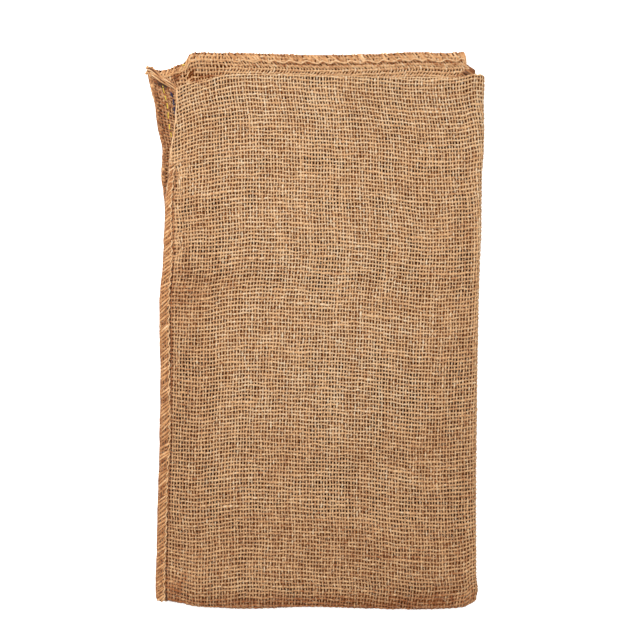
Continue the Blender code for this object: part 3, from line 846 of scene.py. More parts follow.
def make_spun_yarn_tree():
    """Turns lines of points into yarns: an oval section that follows each line, lumpy as hand-spun jute."""
    tree, entry, result = nodes_tree(
        "spun yarn",
        (
            ("Sides", "NodeSocketInt", 3),
            ("Flatness", "NodeSocketFloat", YARN_FLAT),
            ("Lumpiness", "NodeSocketFloat", 0.3),
            ("Lumps per metre", "NodeSocketFloat", 160.0),
            ("Seed", "NodeSocketFloat", 1.0),
            ("Material", "NodeSocketMaterial", None),
        ),
    )
    link = tree.links.new
    lines = add_node(tree, "GeometryNodeMeshToCurve")
    link(entry.outputs["Geometry"], lines.inputs["Mesh"])
    facing = add_node(tree, "GeometryNodeSetCurveNormal", mode="FREE")
    link(lines.outputs["Curve"], facing.inputs["Curve"])
    link(named_value(tree, "face_up", "FLOAT_VECTOR"), facing.inputs["Normal"])

    ring = add_node(tree, "GeometryNodeCurvePrimitiveCircle", mode="RADIUS", Radius=1.0)
    link(entry.outputs["Sides"], ring.inputs["Resolution"])
    # the section's X points the way face_up does
    oval = add_node(tree, "ShaderNodeCombineXYZ", Y=1.0, Z=1.0)
    link(entry.outputs["Flatness"], oval.inputs["X"])
    flattened = add_node(tree, "GeometryNodeTransform")
    link(ring.outputs["Curve"], flattened.inputs["Geometry"])
    link(oval.outputs["Vector"], flattened.inputs["Scale"])

    lumps = add_node(tree, "ShaderNodeTexNoise", noise_dimensions="4D", Detail=1.0)
    link(entry.outputs["Lumps per metre"], lumps.inputs["Scale"])
    link(entry.outputs["Seed"], lumps.inputs["W"])
    lump = math_node(tree, "SUBTRACT", lumps.outputs["Fac"], 0.5)
    swell = math_node(tree, "ADD", math_node(tree, "MULTIPLY", lump, entry.outputs["Lumpiness"]), 1.0)
    width = math_node(tree, "MULTIPLY", swell, named_value(tree, "half_width"))

    yarns = add_node(tree, "GeometryNodeCurveToMesh")
    yarns.inputs["Fill Caps"].default_value = True
    link(facing.outputs["Curve"], yarns.inputs["Curve"])
    link(flattened.outputs["Geometry"], yarns.inputs["Profile Curve"])
    link(width, yarns.inputs["Scale"])
    soft = add_node(tree, "GeometryNodeSetShadeSmooth")
    link(yarns.outputs["Mesh"], soft.inputs["Geometry"])
    real = add_node(tree, "GeometryNodeRealizeInstances")
    link(soft.outputs["Geometry"], real.inputs["Geometry"])
    dyed = add_node(tree, "GeometryNodeSetMaterial")
    link(real.outputs["Geometry"], dyed.inputs["Geometry"])
    link(entry.outputs["Material"], dyed.inputs["Material"])
    link(dyed.outputs["Geometry"], result.inputs["Geometry"])
    return tree


def grow(name, mesh, tree, **sizes):
    """Runs a Geometry Nodes tree on a mesh and keeps the result as a plain object."""
    holder = bpy.data.objects.new(name + "_lines", mesh)
    bpy.context.scene.collection.objects.link(holder)
    modifier = holder.modifiers.new(tree.name, "NODES")
    modifier.node_group = tree
    identifiers = {item.name: item.identifier for item in tree.interface.items_tree if item.in_out == "INPUT"}
    for label, value in sizes.items():
        modifier[identifiers[label.replace("_", " ").capitalize()]] = value
    graph = bpy.context.evaluated_depsgraph_get()
    graph.update()
    result = bpy.data.meshes.new_from_object(holder.evaluated_get(graph))
    bpy.data.objects.remove(holder)
    bpy.data.meshes.remove(mesh)
    result.name = name
    for label in ("half_width", "face_up"):
        if label in result.attributes:
            result.attributes.remove(result.attributes[label])
    return add_object(name, result, sizes["material"])


# ======================================================================================================
# The weave
# ======================================================================================================


def wander_across(across, along):
    """How far the warps stray sideways, in broad waves."""
    return 0.55 * soft_noise(across, along, 31, 11) + 0.25 * soft_noise(across, along, 12, 12)


def wander_along(across, along):
    """How far the wefts stray up and down."""
    return 0.8 * soft_noise(across, along, 34, 21) + 0.4 * soft_noise(across, along, 13, 22)


def stray_on_front(across, along):
    """How far the front's waves and sway move the weave, across and along the cloth."""
    up = FRONT_LENGTH - along
    held_by_seam = blend(smooth(across / 25), 1, smooth((up - 410) / 50))
    from_pull = np.maximum(0, PULL_REACH - across)
    waves = weft_rise(across) * blend(1, 0.6, smooth((up - 400) / 130)) + sum_of_spots(CURLS, across, up)
    ruffled = sum_of_spots(RUFFLES, across, up)
    sideways = warp_sway(up) * held_by_seam + ruffled * soft_noise(across, up, 10, 31)
    pulled = edge_pull(up) * from_pull**2 / (from_pull + 8) + ruffled * soft_noise(across, up, 10, 32)
    return sideways, pulled - waves


def stray_at_mouth(across, along):
    """How the cloth below the mouth's rim is dragged sideways, to the right and then back."""
    below = SACK_ALONG - along
    to_right = smooth((across - 60) / 25)
    return to_right * (0.7 * np.clip(below - 7, 0, 7) - 0.8 * np.clip(below - 14, 0, 12)), 0.0


def rim_wave(across, seed):
    """How far the looped thread of the mouth swings towards the rim, in long waves."""
    turn = 2 * math.pi * across / RIM_WAVE + 0.9 * soft_noise(across, 0, 19, seed)
    return 1.4 * np.sin(turn + 0.5 * np.sin(turn))


def shade_below_rim(across, along):
    """The painted shadow: a dark line right below the looped thread of the far wall's mouth."""
    below = SACK_ALONG - along - RIM_REACH + rim_wave(across, FAR_RIM_SEED)
    return -0.5 * np.exp(-(((below - 2.0) / 1.2) ** 2)) * blend(0.3, 1, smooth((across - 90) / 60))


def shade_beside_seam(across, along):
    """The painted shadow: a dark line right inside the looped thread of the front's sewn edge."""
    up = FRONT_LENGTH - along
    beyond = across - band_width(up) - 1.9
    return -0.45 * np.exp(-((beyond / 0.9) ** 2)) * smooth((455 - up) / 20)


def weave(warps, wefts, across_from, across_to, along_from, along_to, seed, **how):
    """Adds one stretch of plain weave to the two sets of strands.

    how may give depth, wall_b, outward, steps (points for each crossing), tone (paler above 0), fuller (how
    much wider the yarns are), stray (a function that moves the weave), shade (a function that paints shade
    on it) and spare (how much further the weave starts and ends, before it is moved and cut off at its ends).
    """
    depth, wall_b, outward = how.get("depth", YARN_DEPTH), how.get("wall_b", False), how.get("outward", -1)
    steps, spare = how.get("steps", 2), how.get("spare", 0.0)
    warp_count = int((across_to - across_from + 2 * spare) / WARP_PITCH) + 1
    weft_count = int((along_to - along_from + 2 * spare) / WEFT_PITCH) + 1
    rng = np.random.default_rng(seed)

    for strands, is_warp in ((warps, True), (wefts, False)):
        lines, places = (warp_count, weft_count) if is_warp else (weft_count, warp_count)
        line = np.arange(lines)[:, None]
        place = np.arange((places - 1) * steps + 1)[None] / steps
        i, j = (line, place) if is_warp else (place, line)
        across, along = across_from - spare + i * WARP_PITCH, along_from - spare + j * WEFT_PITCH
        across, along = np.broadcast_arrays(across, along)
        run = along if is_warp else across
        stray = 0.32 * line_noise(line, run, 9, seed + 1) + 0.24 * line_noise(line, run, 5, seed + 6)
        stray = stray + 0.14 * rng.uniform(-1, 1, across.shape)
        moved_across = across + wander_across(across, along) + (stray if is_warp else 0)
        moved_along = along + wander_along(across, along) + (0 if is_warp else 1.5 * stray)
        if "stray" in how:
            further_across, further_along = how["stray"](across, along)
            moved_across, moved_along = moved_across + further_across, moved_along + further_along
        keep = (moved_across >= across_from) & (moved_across <= across_to)
        keep = keep & (moved_along >= along_from) & (moved_along <= along_to) if spare else True
        points, up = fold_with_up(moved_across, moved_along, depth, wall_b, outward)
        over = np.cos(math.pi * (i + j)) * (1 if is_warp else -1)
        points = points + up * (over * (WARP_CRIMP if is_warp else WEFT_CRIMP) * MM)[..., None]

        swelling = 0.06 * rng.normal(size=(lines, 1)) + 0.14 * line_noise(line, run, 16, seed + 2)
        swelling = swelling + 0.26 * line_noise(line, run, 6, seed + 5) + 0.06 * over + how.get("fuller", 0.0)
        swelling = swelling + sum_of_spots(DENSER, *outline_place(points))
        slub = np.clip(line_noise(line, run, 24, seed + 3) - 0.65, 0, 1) * 1.8
        half_width = (WARP_HALF if is_warp else WEFT_HALF) * np.clip(1 + swelling + slub, 0.6, 1.8)
        # the listed places: mostly painted shade, and one real stain
        tone = 0.5 + how.get("tone", 0.0) + sum_of_spots(STAINS_AND_SHADE, *outline_place(points))
        tone = tone + (0.05 if is_warp else -0.04)
        tone = tone + 0.02 * rng.normal(size=(lines, 1)) + 0.10 * line_noise(line, run, 18, seed + 4)
        # paler where a yarn crosses over and darker where it dips under: partly rubbed crowns, partly a
        # painted highlight and painted shade
        tone = tone + 0.11 * rng.normal(size=across.shape) + 0.12 * over
        # painted shade from the stretch's own shade function
        if "shade" in how:
            tone = tone + how["shade"](moved_across, moved_along)
        strands.add(points, half_width, up, tone, keep)


# ======================================================================================================
# The sewing
# ======================================================================================================

STITCH_PITCH = 3.9  # from one strand of the overcast twine to the next
TWINE_HALF = 1.65
RIM_TWINE_HALF = 1.4
TWINE_SIZES = (0.8, 1.0, 1.2)  # thin, middling and thick stretches of twine, as shares of that
SEAM_REACH = 8.2  # how far in from a side edge the overcasting reaches, where the looped thread runs
SEAM_SLANT = 6.5  # how far a strand climbs over that reach
RIM_REACH = 7.4
RIM_SLANT = 6.5
RIM_WAVE = 15.7  # from one wave to the next of the looped thread along the mouth
FAR_RIM_SEED = 705
LOOP_PITCH = 8.3  # from one loop of the side seam's looped thread to the next
ROLLED_UNDER = 92.0  # the front's sewn edge is rolled under, and hidden, from its top to here

# How a strand of twine goes round an edge: how far in from the edge, and how deep from the upper face.
Wrap = namedtuple("Wrap", "inward depth")
SEAM_WRAP = (
    Wrap(SEAM_REACH + 0.4, 0.5),
    Wrap(SEAM_REACH - 0.8, -0.40),
    Wrap(6.4, -0.55),
    Wrap(3.8, -0.60),
    Wrap(1.4, -0.45),
    Wrap(0.1, 0.35),
    Wrap(-0.4, BOTTOM_RADIUS),
    Wrap(0.1, BOTH_WALLS - 0.35),
    Wrap(1.4, BOTH_WALLS + 0.40),
    Wrap(5.0, BOTH_WALLS + 0.50),
    Wrap(SEAM_REACH - 0.8, BOTH_WALLS + 0.35),
    Wrap(SEAM_REACH + 0.4, BOTH_WALLS - 0.5),
)
RIM_WRAP = (
    Wrap(RIM_REACH + 0.4, 0.5),
    Wrap(RIM_REACH - 0.8, -0.35),
    Wrap(4.4, -0.50),
    Wrap(1.2, -0.40),
    Wrap(-0.7, 0.30),
    Wrap(-0.7, PLY - 0.30),
    Wrap(1.2, PLY + 0.25),
    Wrap(4.4, PLY + 0.30),
    Wrap(RIM_REACH - 0.8, PLY + 0.20),
    Wrap(RIM_REACH + 0.4, PLY - 0.5),
)


def away_from(points, centre, along_edge):
    """The way out of a wrapped edge at each point: square to the strand and to the edge."""
    run = np.gradient(points, axis=1)
    out = np.cross(run, along_edge)
    out = out * np.sign(np.sum(out * (points - centre), -1, keepdims=True))
    return out / np.maximum(np.linalg.norm(out, axis=-1, keepdims=True), 1e-12)


def add_twine(strands, points, centre, along_edge, rng, pale, twine_half=TWINE_HALF):
    """Adds wrapped strands, each with its own thickness and tone."""
    count = len(points)
    half_width = twine_half * rng.choice(TWINE_SIZES, (count, 1)) * (1 + 0.08 * rng.normal(size=(count, 1)))
    half_width = half_width * (1 + 0.10 * rng.normal(size=points.shape[:2]).clip(-1.5, 1.5))
    tone = 0.5 + pale + 0.12 * rng.normal(size=(count, 1)) + 0.16 * rng.normal(size=points.shape[:2])
    strands.add(points, half_width, away_from(points, centre, along_edge), tone)


def whip_seam(strands, edge, inwards, seed, stretch=(2.0, SACK_ALONG - 1.0), pale=-0.11, reach=1.0):
    """Twine whipped over a sewn side edge. inwards is 1 or -1, the way across the cloth from that edge."""
    along_from, along_to = stretch
    rng = np.random.default_rng(seed)
    start = np.arange(along_from, along_to, STITCH_PITCH)[:, None]
    start = start + 0.7 * rng.uniform(-1, 1, start.shape)
    inward = np.array([wrap.inward for wrap in SEAM_WRAP])[None] + 0.35 * rng.uniform(-1, 1, start.shape)
    inward = np.where(inward > 0, inward * reach * band_width(FRONT_LENGTH - start) / SEAM_REACH, inward)
    depth = np.array([wrap.depth for wrap in SEAM_WRAP])[None] + 0.15 * rng.uniform(-1, 1, start.shape)
    slant = SEAM_SLANT * (1 + 0.22 * rng.normal(size=start.shape).clip(-1.5, 1.5))
    along = start - slant * inward / SEAM_REACH
    across = edge + inwards * inward
    points = fold(across, along, depth)
    centre = fold(edge + inwards * SEAM_REACH / 2, start, BOTTOM_RADIUS)
    along_edge = fold(across, along + 0.5, depth) - fold(across, along - 0.5, depth)
    # painted shade: the strands are browner where they turn round the edge, away from the light
    add_twine(strands, points, centre, along_edge, rng, pale - 0.12 * (inward < 0))


def whip_rim(strands, wall_b, seed, pale=-0.12):
    """Twine whipped over the raw edge of one wall at the mouth."""
    rng = np.random.default_rng(seed)
    start = np.arange(1.0, SACK_ACROSS - 1.0, STITCH_PITCH * 0.8)[:, None]
    start = start + 0.6 * rng.uniform(-1, 1, start.shape)
    inward = np.array([wrap.inward for wrap in RIM_WRAP])[None] + 0.4 * rng.uniform(-1, 1, start.shape)
    depth = np.array([wrap.depth for wrap in RIM_WRAP])[None]
    depth = BOTH_WALLS - depth if wall_b else depth
    slant = RIM_SLANT * (1 + 0.22 * rng.normal(size=start.shape).clip(-1.5, 1.5))
    slant = slant * (1 if wall_b else blend(-0.6, 1, smooth((start - 62) / 20)))
    across = start + slant * inward / RIM_REACH
    along = SACK_ALONG - inward
    points = fold(across, along, depth, wall_b)
    middle = BOTH_WALLS - PLY / 2 if wall_b else PLY / 2
    centre = fold(start, SACK_ALONG - RIM_REACH / 2, middle, wall_b)
    along_edge = fold(across + 0.5, along, depth, wall_b) - fold(across - 0.5, along, depth, wall_b)
    # painted shade: the strands are browner where they turn round the edge
    add_twine(strands, points, centre, along_edge, rng, pale - 0.12 * (inward < 0), RIM_TWINE_HALF)


def run_thread(strands, across, along, depth, seed, half_width=0.7, tone=0.66, wall_b=False, outward=-1):
    """One thread along a path on the cloth, slightly uneven."""
    rng = np.random.default_rng(seed)
    across, along, depth = (np.asarray(v, float)[None] for v in np.broadcast_arrays(across, along, depth))
    points, up = fold_with_up(across, along, depth, wall_b, outward)
    wobble = line_noise(seed, across + along, 4, seed)
    half_width = half_width * (1 + 0.2 * wobble)
    strands.add(points, half_width, up, tone + 0.08 * rng.normal(size=points.shape[:2]))


def fill_seam(strands, edge, inwards, seed, along_from=1.0):
    """The brown cloth edge and yarns inside the overcasting of a side seam, seen between its strands."""
    along = np.arange(along_from, SACK_ALONG - 1.0, 3.5)
    for number, (share, depth) in enumerate(((0.75, 0.1), (0.45, 0.0), (0.15, 0.1), (-0.02, BOTTOM_RADIUS))):
        inward = share * band_width(FRONT_LENGTH - along) + 0.3 * soft_noise(along, share, 11, seed)
        run_thread(strands, edge + inwards * inward, along, depth, seed + number, half_width=1.5, tone=0.12)


def fill_rim(strands, wall_b, seed):
    """The brown cloth edge inside the overcasting of one wall's mouth, seen between its strands."""
    across = np.arange(1.0, SACK_ACROSS - 1.0, 3.5)
    depth = BOTH_WALLS - PLY / 2 if wall_b else PLY / 2
    run_thread(strands, across, SACK_ALONG - 0.7, depth, seed, half_width=1.1, tone=0.15, wall_b=wall_b)


def loop_seam_threads(strands, edge, inwards, seed, along_from=1.0):
    """The looped thread at the inner end of the overcasting, on wall A's face of a side seam."""
    along = np.arange(along_from, SACK_ALONG - 3.0, LOOP_PITCH / 5)
    turn = 2 * math.pi * along / LOOP_PITCH + 1.2 * soft_noise(along, 0, 19, seed)
    inward = band_width(FRONT_LENGTH - along) + 0.8 * np.sin(turn) + 0.4 * soft_noise(along, 5, 23, seed)
    depth = 0.5 * np.cos(turn) - 0.75
    run_thread(strands, edge + inwards * inward, along, depth, seed, half_width=0.9, tone=0.66)


def loop_rim_threads(strands, wall_b, seed):
    """The looped thread along the mouth, in long waves, on both faces of one wall."""
    across = np.arange(2.0, SACK_ACROSS - 2.0, RIM_WAVE / 9)
    along = SACK_ALONG - RIM_REACH + rim_wave(across, seed)
    # it is pale to the right and sinks between the strands at the open corner
    tone = 0.5 + 0.22 * smooth((across - 90) / 60)
    for depth, outward in ((-0.65, -1), (PLY + 0.25, 1)):
        depth = depth + 0.3 * outward * smooth((across - 90) / 60)
        if wall_b:
            depth, outward = BOTH_WALLS - depth, -outward
        run_thread(strands, across, along, depth, seed, 0.95, tone, wall_b, outward)


def roll_edge_under(strands, seed):
    """The bright edge of the front where its overcasting is rolled under."""
    along = np.arange(0.0, ROLLED_UNDER + 6, 2.5)
    run_thread(strands, -0.3 + 0.3 * soft_noise(along, 0, 9, seed), along, 0.45, seed, half_width=1.1)


# where each coloured thread passes over the weave, as up on the photograph's plane
YELLOW_SHOWS = ((489, 496), (500, 507), (514, 522), (525, 532), (535, 540), (543, 552))
BLUE_SHOWS = ((523.5, 531.5), (533, 541), (541.8, 550))
YELLOW_AT_RIM = 35.2  # across the sack, where the yellow thread comes round the far wall's mouth too


def add_marker_threads(strands, across, stretches, half_width, seed):
    """A coloured thread woven into the near wall beside its sewn edge, seen where it passes over."""
    for number, (up_from, up_to) in enumerate(stretches):
        along = MOUTH_START - HALF_STACK + np.linspace(up_from, up_to, 6)
        depth = BOTH_WALLS - YARN_DEPTH + 1.0 * np.sin(np.linspace(0, math.pi, 6))
        stray = across + 0.25 * soft_noise(along, 0, 5, seed + number)
        run_thread(strands, stray, along, depth, seed, half_width, tone=0.42, wall_b=True, outward=1)


def add_marker_at_rim(strands, seed):
    """The short end of the yellow thread that lies over the overcasting of the far wall's mouth."""
    across = YELLOW_AT_RIM + np.linspace(-1.3, 1.3, 5)
    depth = PLY + 1.0 + 0.4 * np.sin(np.linspace(0, math.pi, 5))
    run_thread(strands, across, SACK_ALONG - 1.2, depth, seed, half_width=0.8, tone=0.5, outward=1)


def add_corner_bundle(strands, seed):
    """The thick twine laid along the near wall's mouth at the open corner, and its two cut ends."""
    rng = np.random.default_rng(seed)
    across = np.linspace(-1.5, 42, 22)
    for back, depth in ((0.0, 3.3), (2.9, 4.0), (5.6, 4.0), (8.2, 3.2)):
        # each strand winds slowly round the bundle, and the bundle parts in places
        wind = (across - 10) / 4.0 + 0.9 * back
        stray = back + 0.9 * np.sin(wind) + 0.4 * soft_noise(across, back, 9, seed)
        run_thread(
            strands,
            across,
            SACK_ALONG - stray,
            depth + 0.4 * np.cos(wind) - 0.3,
            seed + int(10 * back),
            half_width=0.98,
            tone=0.54 + 0.24 * np.cos(across / 2.6 + 2.1 * back) + 0.1 * rng.uniform(-1, 1),
            wall_b=True,
            outward=1,
        )
    for side, (reach_x, reach_y) in ((0, (-3.2, 1.0)), (1, (0.4, 2.6))):
        root, up = fold_with_up(np.array([[0.5 + 3 * side]]), np.array([[SACK_ALONG - 0.5]]), 2.4, True, 1)
        steps = np.linspace(0, 1, 5)[None, :, None]
        reach = np.array([reach_x, reach_y, 0.4]) * MM
        bend = np.array([0.6 - side, 0.0, 0.5]) * MM
        tail = root + steps * reach + np.sin(math.pi * steps) * bend
        strands.add(tail, np.array([[1.0, 1.2, 1.9, 2.3, 1.9]]) - 0.4 * side, up, 0.5 - 0.15 * side)


# ======================================================================================================
# Loose fibres
# ======================================================================================================


def make_loose_fibre_tree():
    """Scatters thin bent fibres over a surface: roots on its faces, each fibre with its own turn and size."""
    tree, entry, result = nodes_tree(
        "loose fibres",
        (
            ("Fibres per square metre", "NodeSocketFloat", 20000.0),
            ("Fibre length", "NodeSocketFloat", 0.007),
            ("Fibre thickness", "NodeSocketFloat", 0.0001),
            ("Seed", "NodeSocketInt", 1),
            ("Material", "NodeSocketMaterial", None),
        ),
    )
    link = tree.links.new
    roots = add_node(tree, "GeometryNodeDistributePointsOnFaces", distribute_method="RANDOM")
    link(entry.outputs["Geometry"], roots.inputs["Mesh"])
    link(entry.outputs["Fibres per square metre"], roots.inputs["Density"])
    link(entry.outputs["Seed"], roots.inputs["Seed"])

    fibre = add_node(tree, "GeometryNodeCurvePrimitiveBezierSegment", Resolution=4)
    # the bend of a fibre, as shares of its length
    bend = {
        "Start": (0.0, 0.0, 0.0),
        "Start Handle": (0.1, 0.0, 0.35),
        "End Handle": (0.5, 0.2, 0.5),
        "End": (0.95, 0.1, 0.28),
    }
    for label, place in bend.items():
        fibre.inputs[label].default_value = place

    turn = add_node(tree, "FunctionNodeRandomValue", data_type="FLOAT_VECTOR")
    turn.inputs["Min"].default_value = (-0.5, -0.5, -math.pi)
    turn.inputs["Max"].default_value = (0.5, 0.5, math.pi)
    link(entry.outputs["Seed"], turn.inputs["Seed"])
    turned = add_node(tree, "FunctionNodeRotateRotation", rotation_space="LOCAL")
    link(roots.outputs["Rotation"], turned.inputs["Rotation"])
    link(turn.outputs["Value"], turned.inputs["Rotate By"])
    size = add_node(tree, "FunctionNodeRandomValue", data_type="FLOAT")
    size.inputs[2].default_value, size.inputs[3].default_value = 0.35, 1.0
    link(entry.outputs["Seed"], size.inputs["Seed"])
    length = math_node(tree, "MULTIPLY", size.outputs[1], entry.outputs["Fibre length"])

    placed = add_node(tree, "GeometryNodeInstanceOnPoints")
    link(roots.outputs["Points"], placed.inputs["Points"])
    link(fibre.outputs["Curve"], placed.inputs["Instance"])
    link(turned.outputs["Rotation"], placed.inputs["Rotation"])
    link(length, placed.inputs["Scale"])
    real = add_node(tree, "GeometryNodeRealizeInstances")
    link(placed.outputs["Instances"], real.inputs["Geometry"])
    ring = add_node(tree, "GeometryNodeCurvePrimitiveCircle", mode="RADIUS", Resolution=3)
    link(entry.outputs["Fibre thickness"], ring.inputs["Radius"])
    tubes = add_node(tree, "GeometryNodeCurveToMesh")
    tubes.inputs["Fill Caps"].default_value = True
    link(real.outputs["Geometry"], tubes.inputs["Curve"])
    link(ring.outputs["Curve"], tubes.inputs["Profile Curve"])
    dyed = add_node(tree, "GeometryNodeSetMaterial")
    link(tubes.outputs["Mesh"], dyed.inputs["Geometry"])
    link(entry.outputs["Material"], dyed.inputs["Material"])
    link(dyed.outputs["Geometry"], result.inputs["Geometry"])
    return tree


def make_skin(name, across, along, depth, wall_b=False, outward=-1):
    """A stretch of the folded cloth's face, for fibres to grow on."""
    points = fold(np.asarray(across)[:, None], np.asarray(along)[None], depth, wall_b)
    numbers = np.arange(points[..., 0].size).reshape(points.shape[:2])
    corners = [numbers[:-1, :-1], numbers[:-1, 1:], numbers[1:, 1:], numbers[1:, :-1]]
    if outward > 0:
        corners = corners[::-1]
    mesh = bpy.data.meshes.new(name)
    mesh.from_pydata(points.reshape(-1, 3).tolist(), [], np.stack([c.ravel() for c in corners], -1).tolist())
    return mesh


# ======================================================================================================
# Camera and light
# ======================================================================================================

PIXEL = 1.015 * MM  # what one pixel of the 640 across the photograph covers on the sack
PHOTO_SIDE = 640
VIEW_MIDDLE = (0.0045, 0.0111)  # under the middle of the photograph
LENS, SENSOR = 85.0, 36.0
FLOOR_REACH = 4.0
FLOOR_LEVEL = -0.0004  # just under the sack's lowest fibre


def add_camera():
    data = bpy.data.cameras.new("camera")
    data.lens, data.sensor_width = LENS, SENSOR
    camera = bpy.data.objects.new("camera", data)
    away = PHOTO_SIDE * PIXEL * LENS / SENSOR
    camera.location = (*VIEW_MIDDLE, CAD_BOX[1][2] + away)
    bpy.context.scene.collection.objects.link(camera)
    bpy.context.scene.camera = camera


def add_softbox(name, location, size, watts):
    data = bpy.data.lights.new(name, "AREA")
    data.shape, data.size, data.energy = "DISK", size, watts
    light = bpy.data.objects.new(name, data)
    light.location = location
    direction = -light.location
    light.rotation_euler = direction.to_track_quat("-Z", "Y").to_euler()
    bpy.context.scene.collection.objects.link(light)


def add_studio():
    """A pale floor, a soft key from the upper left, two weaker lights and a pale room."""
    floor_mesh = bpy.data.meshes.new("floor")
    sides = ((-1, -1), (1, -1), (1, 1), (-1, 1))
    corners = [(x * FLOOR_REACH, y * FLOOR_REACH, FLOOR_LEVEL) for x, y in sides]
    floor_mesh.from_pydata(corners, [], [(0, 1, 2, 3)])
    paint, shader = new_material("pale floor")
    shader.inputs["Base Color"].default_value = (0.93, 0.93, 0.93, 1)
    shader.inputs["Roughness"].default_value = 1.0
    shader.inputs["Sheen Weight"].default_value = 0.0
    shader.inputs["Emission Color"].default_value = (1, 1, 1, 1)
    shader.inputs["Emission Strength"].default_value = 0.5
    add_object("floor", floor_mesh, paint)

    add_softbox("key", (-0.8, 1.0, 1.5), 0.8, 46)
    add_softbox("top", (0.0, 0.5, 2.2), 1.6, 33)
    add_softbox("side", (1.5, 0.3, 0.9), 0.8, 4)
    world = bpy.data.worlds.new("room")
    bpy.context.scene.world = world
    world.use_nodes = True
    room = world.node_tree.nodes["Background"]
    room.inputs["Color"].default_value = (1, 1, 1, 1)
    room.inputs["Strength"].default_value = 0.55
    bpy.context.scene.view_settings.view_transform = "Standard"


# ======================================================================================================
# The sack
# ======================================================================================================


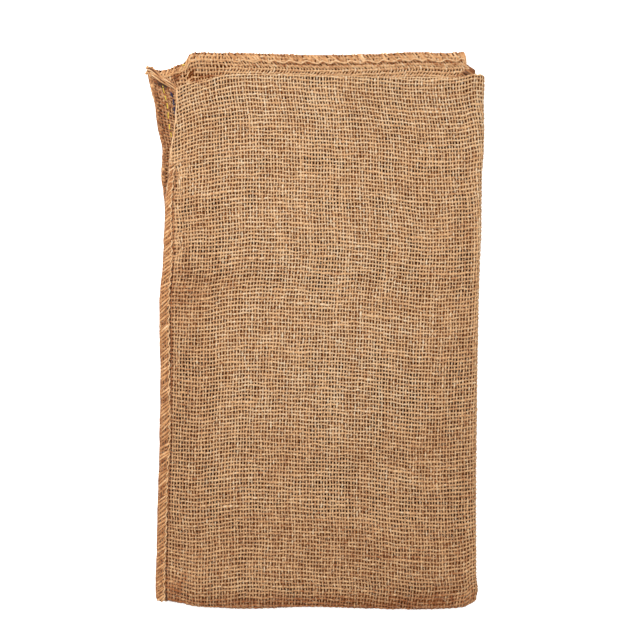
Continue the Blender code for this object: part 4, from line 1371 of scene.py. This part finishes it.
def main():
    add_camera()
    add_studio()
    fibre_group, weave_group = make_jute_fibre_group(), make_plain_weave_group()
    spun_yarn = make_spun_yarn_tree()
    along_streaks, across_streaks = (1400, 500, 1400), (500, 1400, 1400)
    twine_streaks, fibre_streaks = (1500, 1500, 1500), (300, 300, 300)
    warp_jute = yarn_material("warp jute", fibre_group, along_streaks)
    weft_jute = yarn_material("weft jute", fibre_group, across_streaks)

    # the sheet's colour is painted shade, seen in the gaps between the yarns
    sheet = make_underlay(cloth_material("jute between the yarns", weave_group))

    orange_jute = {
        "dark_jute": (0.17, 0.052, 0.012, 1),
        "mid_jute": (0.43, 0.220, 0.090, 1),
        "pale_jute": (0.58, 0.41, 0.245, 1),
    }
    twine_jute = yarn_material("overcast twine", fibre_group, twine_streaks, streak=0.5, **orange_jute)
    fibre_jute = yarn_material("loose jute fibre", fibre_group, fibre_streaks, tone=0.8)
    yellow = {
        "dark_jute": (0.22, 0.12, 0.010, 1),
        "mid_jute": (0.52, 0.36, 0.040, 1),
        "pale_jute": (0.66, 0.53, 0.14, 1),
    }
    blue = {
        "dark_jute": (0.004, 0.002, 0.012, 1),
        "mid_jute": (0.011, 0.006, 0.032, 1),
        "pale_jute": (0.03, 0.02, 0.08, 1),
    }
    pieces = []

    def spin(name, strands, material, **sizes):
        seed = len(pieces) + 1.0
        pieces.append(grow(name, strands.mesh(name), spun_yarn, material=material, seed=seed, **sizes))

    # the front, with the fold at its right and the half fold at its lower end
    warps, wefts = Strands(), Strands()
    weave(warps, wefts, -0.6, RIGHT_FOLD_END + 2, -4.0, MOUTH_START + 3, seed=100,
          stray=stray_on_front, shade=shade_beside_seam, spare=19.0)
    spin("front_warps", warps, warp_jute)
    spin("front_wefts", wefts, weft_jute)

    warps, wefts = Strands(), Strands()
    # the near wall's outer face beside its sewn edge, at the open corner
    # painted shade: this strip lies lower, in shade, and its tone is lowered for it
    weave(warps, wefts, 0.0, 46.0, SACK_ALONG - 165, SACK_ALONG, seed=200, wall_b=True, outward=1,
          depth=BOTH_WALLS - YARN_DEPTH, tone=-0.24)
    # the far wall's inner face along the mouth, and its outer face in the fold at the right
    weave(warps, wefts, 2.0, FLAT_WIDTH + 14, SACK_ALONG - 44, SACK_ALONG, seed=300, outward=1,
          depth=PLY + 0.1, stray=stray_at_mouth, shade=shade_below_rim, tone=-0.10, fuller=0.2)
    weave(warps, wefts, FLAT_WIDTH - 6, RIGHT_FOLD_END, SACK_ALONG - 30, SACK_ALONG - 5, seed=350, fuller=0.2)
    # the half fold of the two thirds below the front
    weave(warps, wefts, RIGHT_FOLD_END + 4, SACK_ACROSS - 2, FRONT_CLOTH - 6, MOUTH_START + 6, seed=400,
          steps=1)
    spin("mouth_and_fold_warps", warps, warp_jute)
    spin("mouth_and_fold_wefts", wefts, weft_jute)

    # the underside
    warps, wefts = Strands(), Strands()
    weave(warps, wefts, LEFT_FOLD_START - 2, SACK_ACROSS - 2, MOUTH_START + 3, SACK_ALONG, seed=500, steps=1)
    spin("underside_warps", warps, warp_jute)
    spin("underside_wefts", wefts, weft_jute)

    twine = Strands()
    whip_seam(twine, 0.0, 1, seed=600, stretch=(ROLLED_UNDER, MOUTH_START))
    # painted shade: the mouth half's sewn edge beside that strip is darker for the same shade
    whip_seam(twine, 0.0, 1, seed=605, stretch=(MOUTH_START, SACK_ALONG - 1.0), pale=-0.34, reach=0.35)
    whip_seam(twine, SACK_ACROSS, -1, seed=610)
    loop_seam_threads(twine, 0.0, 1, seed=620, along_from=ROLLED_UNDER)
    loop_seam_threads(twine, SACK_ACROSS, -1, seed=630)
    fill_seam(twine, 0.0, 1, seed=660, along_from=ROLLED_UNDER)
    fill_seam(twine, SACK_ACROSS, -1, seed=670)
    roll_edge_under(twine, seed=640)
    spin("seam_twine", twine, twine_jute, flatness=TWINE_FLAT)
    for name, across, stretches, half_width, colours in (
        ("yellow_thread", 11.1, YELLOW_SHOWS, 0.8, yellow),
        ("blue_thread", 18.0, BLUE_SHOWS, 1.4, blue),
    ):
        marker = Strands()
        add_marker_threads(marker, across, stretches, half_width, seed=650)
        if name == "yellow_thread":
            add_marker_at_rim(marker, seed=655)
        dyed = yarn_material(name.replace("_", " "), fibre_group, twine_streaks, **colours)
        spin(name, marker, dyed, flatness=TWINE_FLAT)
    twine = Strands()
    whip_rim(twine, False, seed=700)
    whip_rim(twine, True, seed=720, pale=-0.42)
    loop_rim_threads(twine, False, seed=FAR_RIM_SEED)
    loop_rim_threads(twine, True, seed=725)
    fill_rim(twine, False, seed=750)
    fill_rim(twine, True, seed=760)
    add_corner_bundle(twine, seed=740)
    spin("mouth_twine", twine, twine_jute, flatness=TWINE_FLAT)

    skin = make_skin("loose_fibres", evenly(0, RIGHT_FOLD_END, 8), evenly(-3, MOUTH_START, 8), -0.1)
    fibre_tree = make_loose_fibre_tree()
    pieces.append(grow("loose_fibres", skin, fibre_tree, material=fibre_jute, seed=5))

    for piece in [sheet, *pieces]:
        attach(piece, "root")
    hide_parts("sack_cloth")


main()
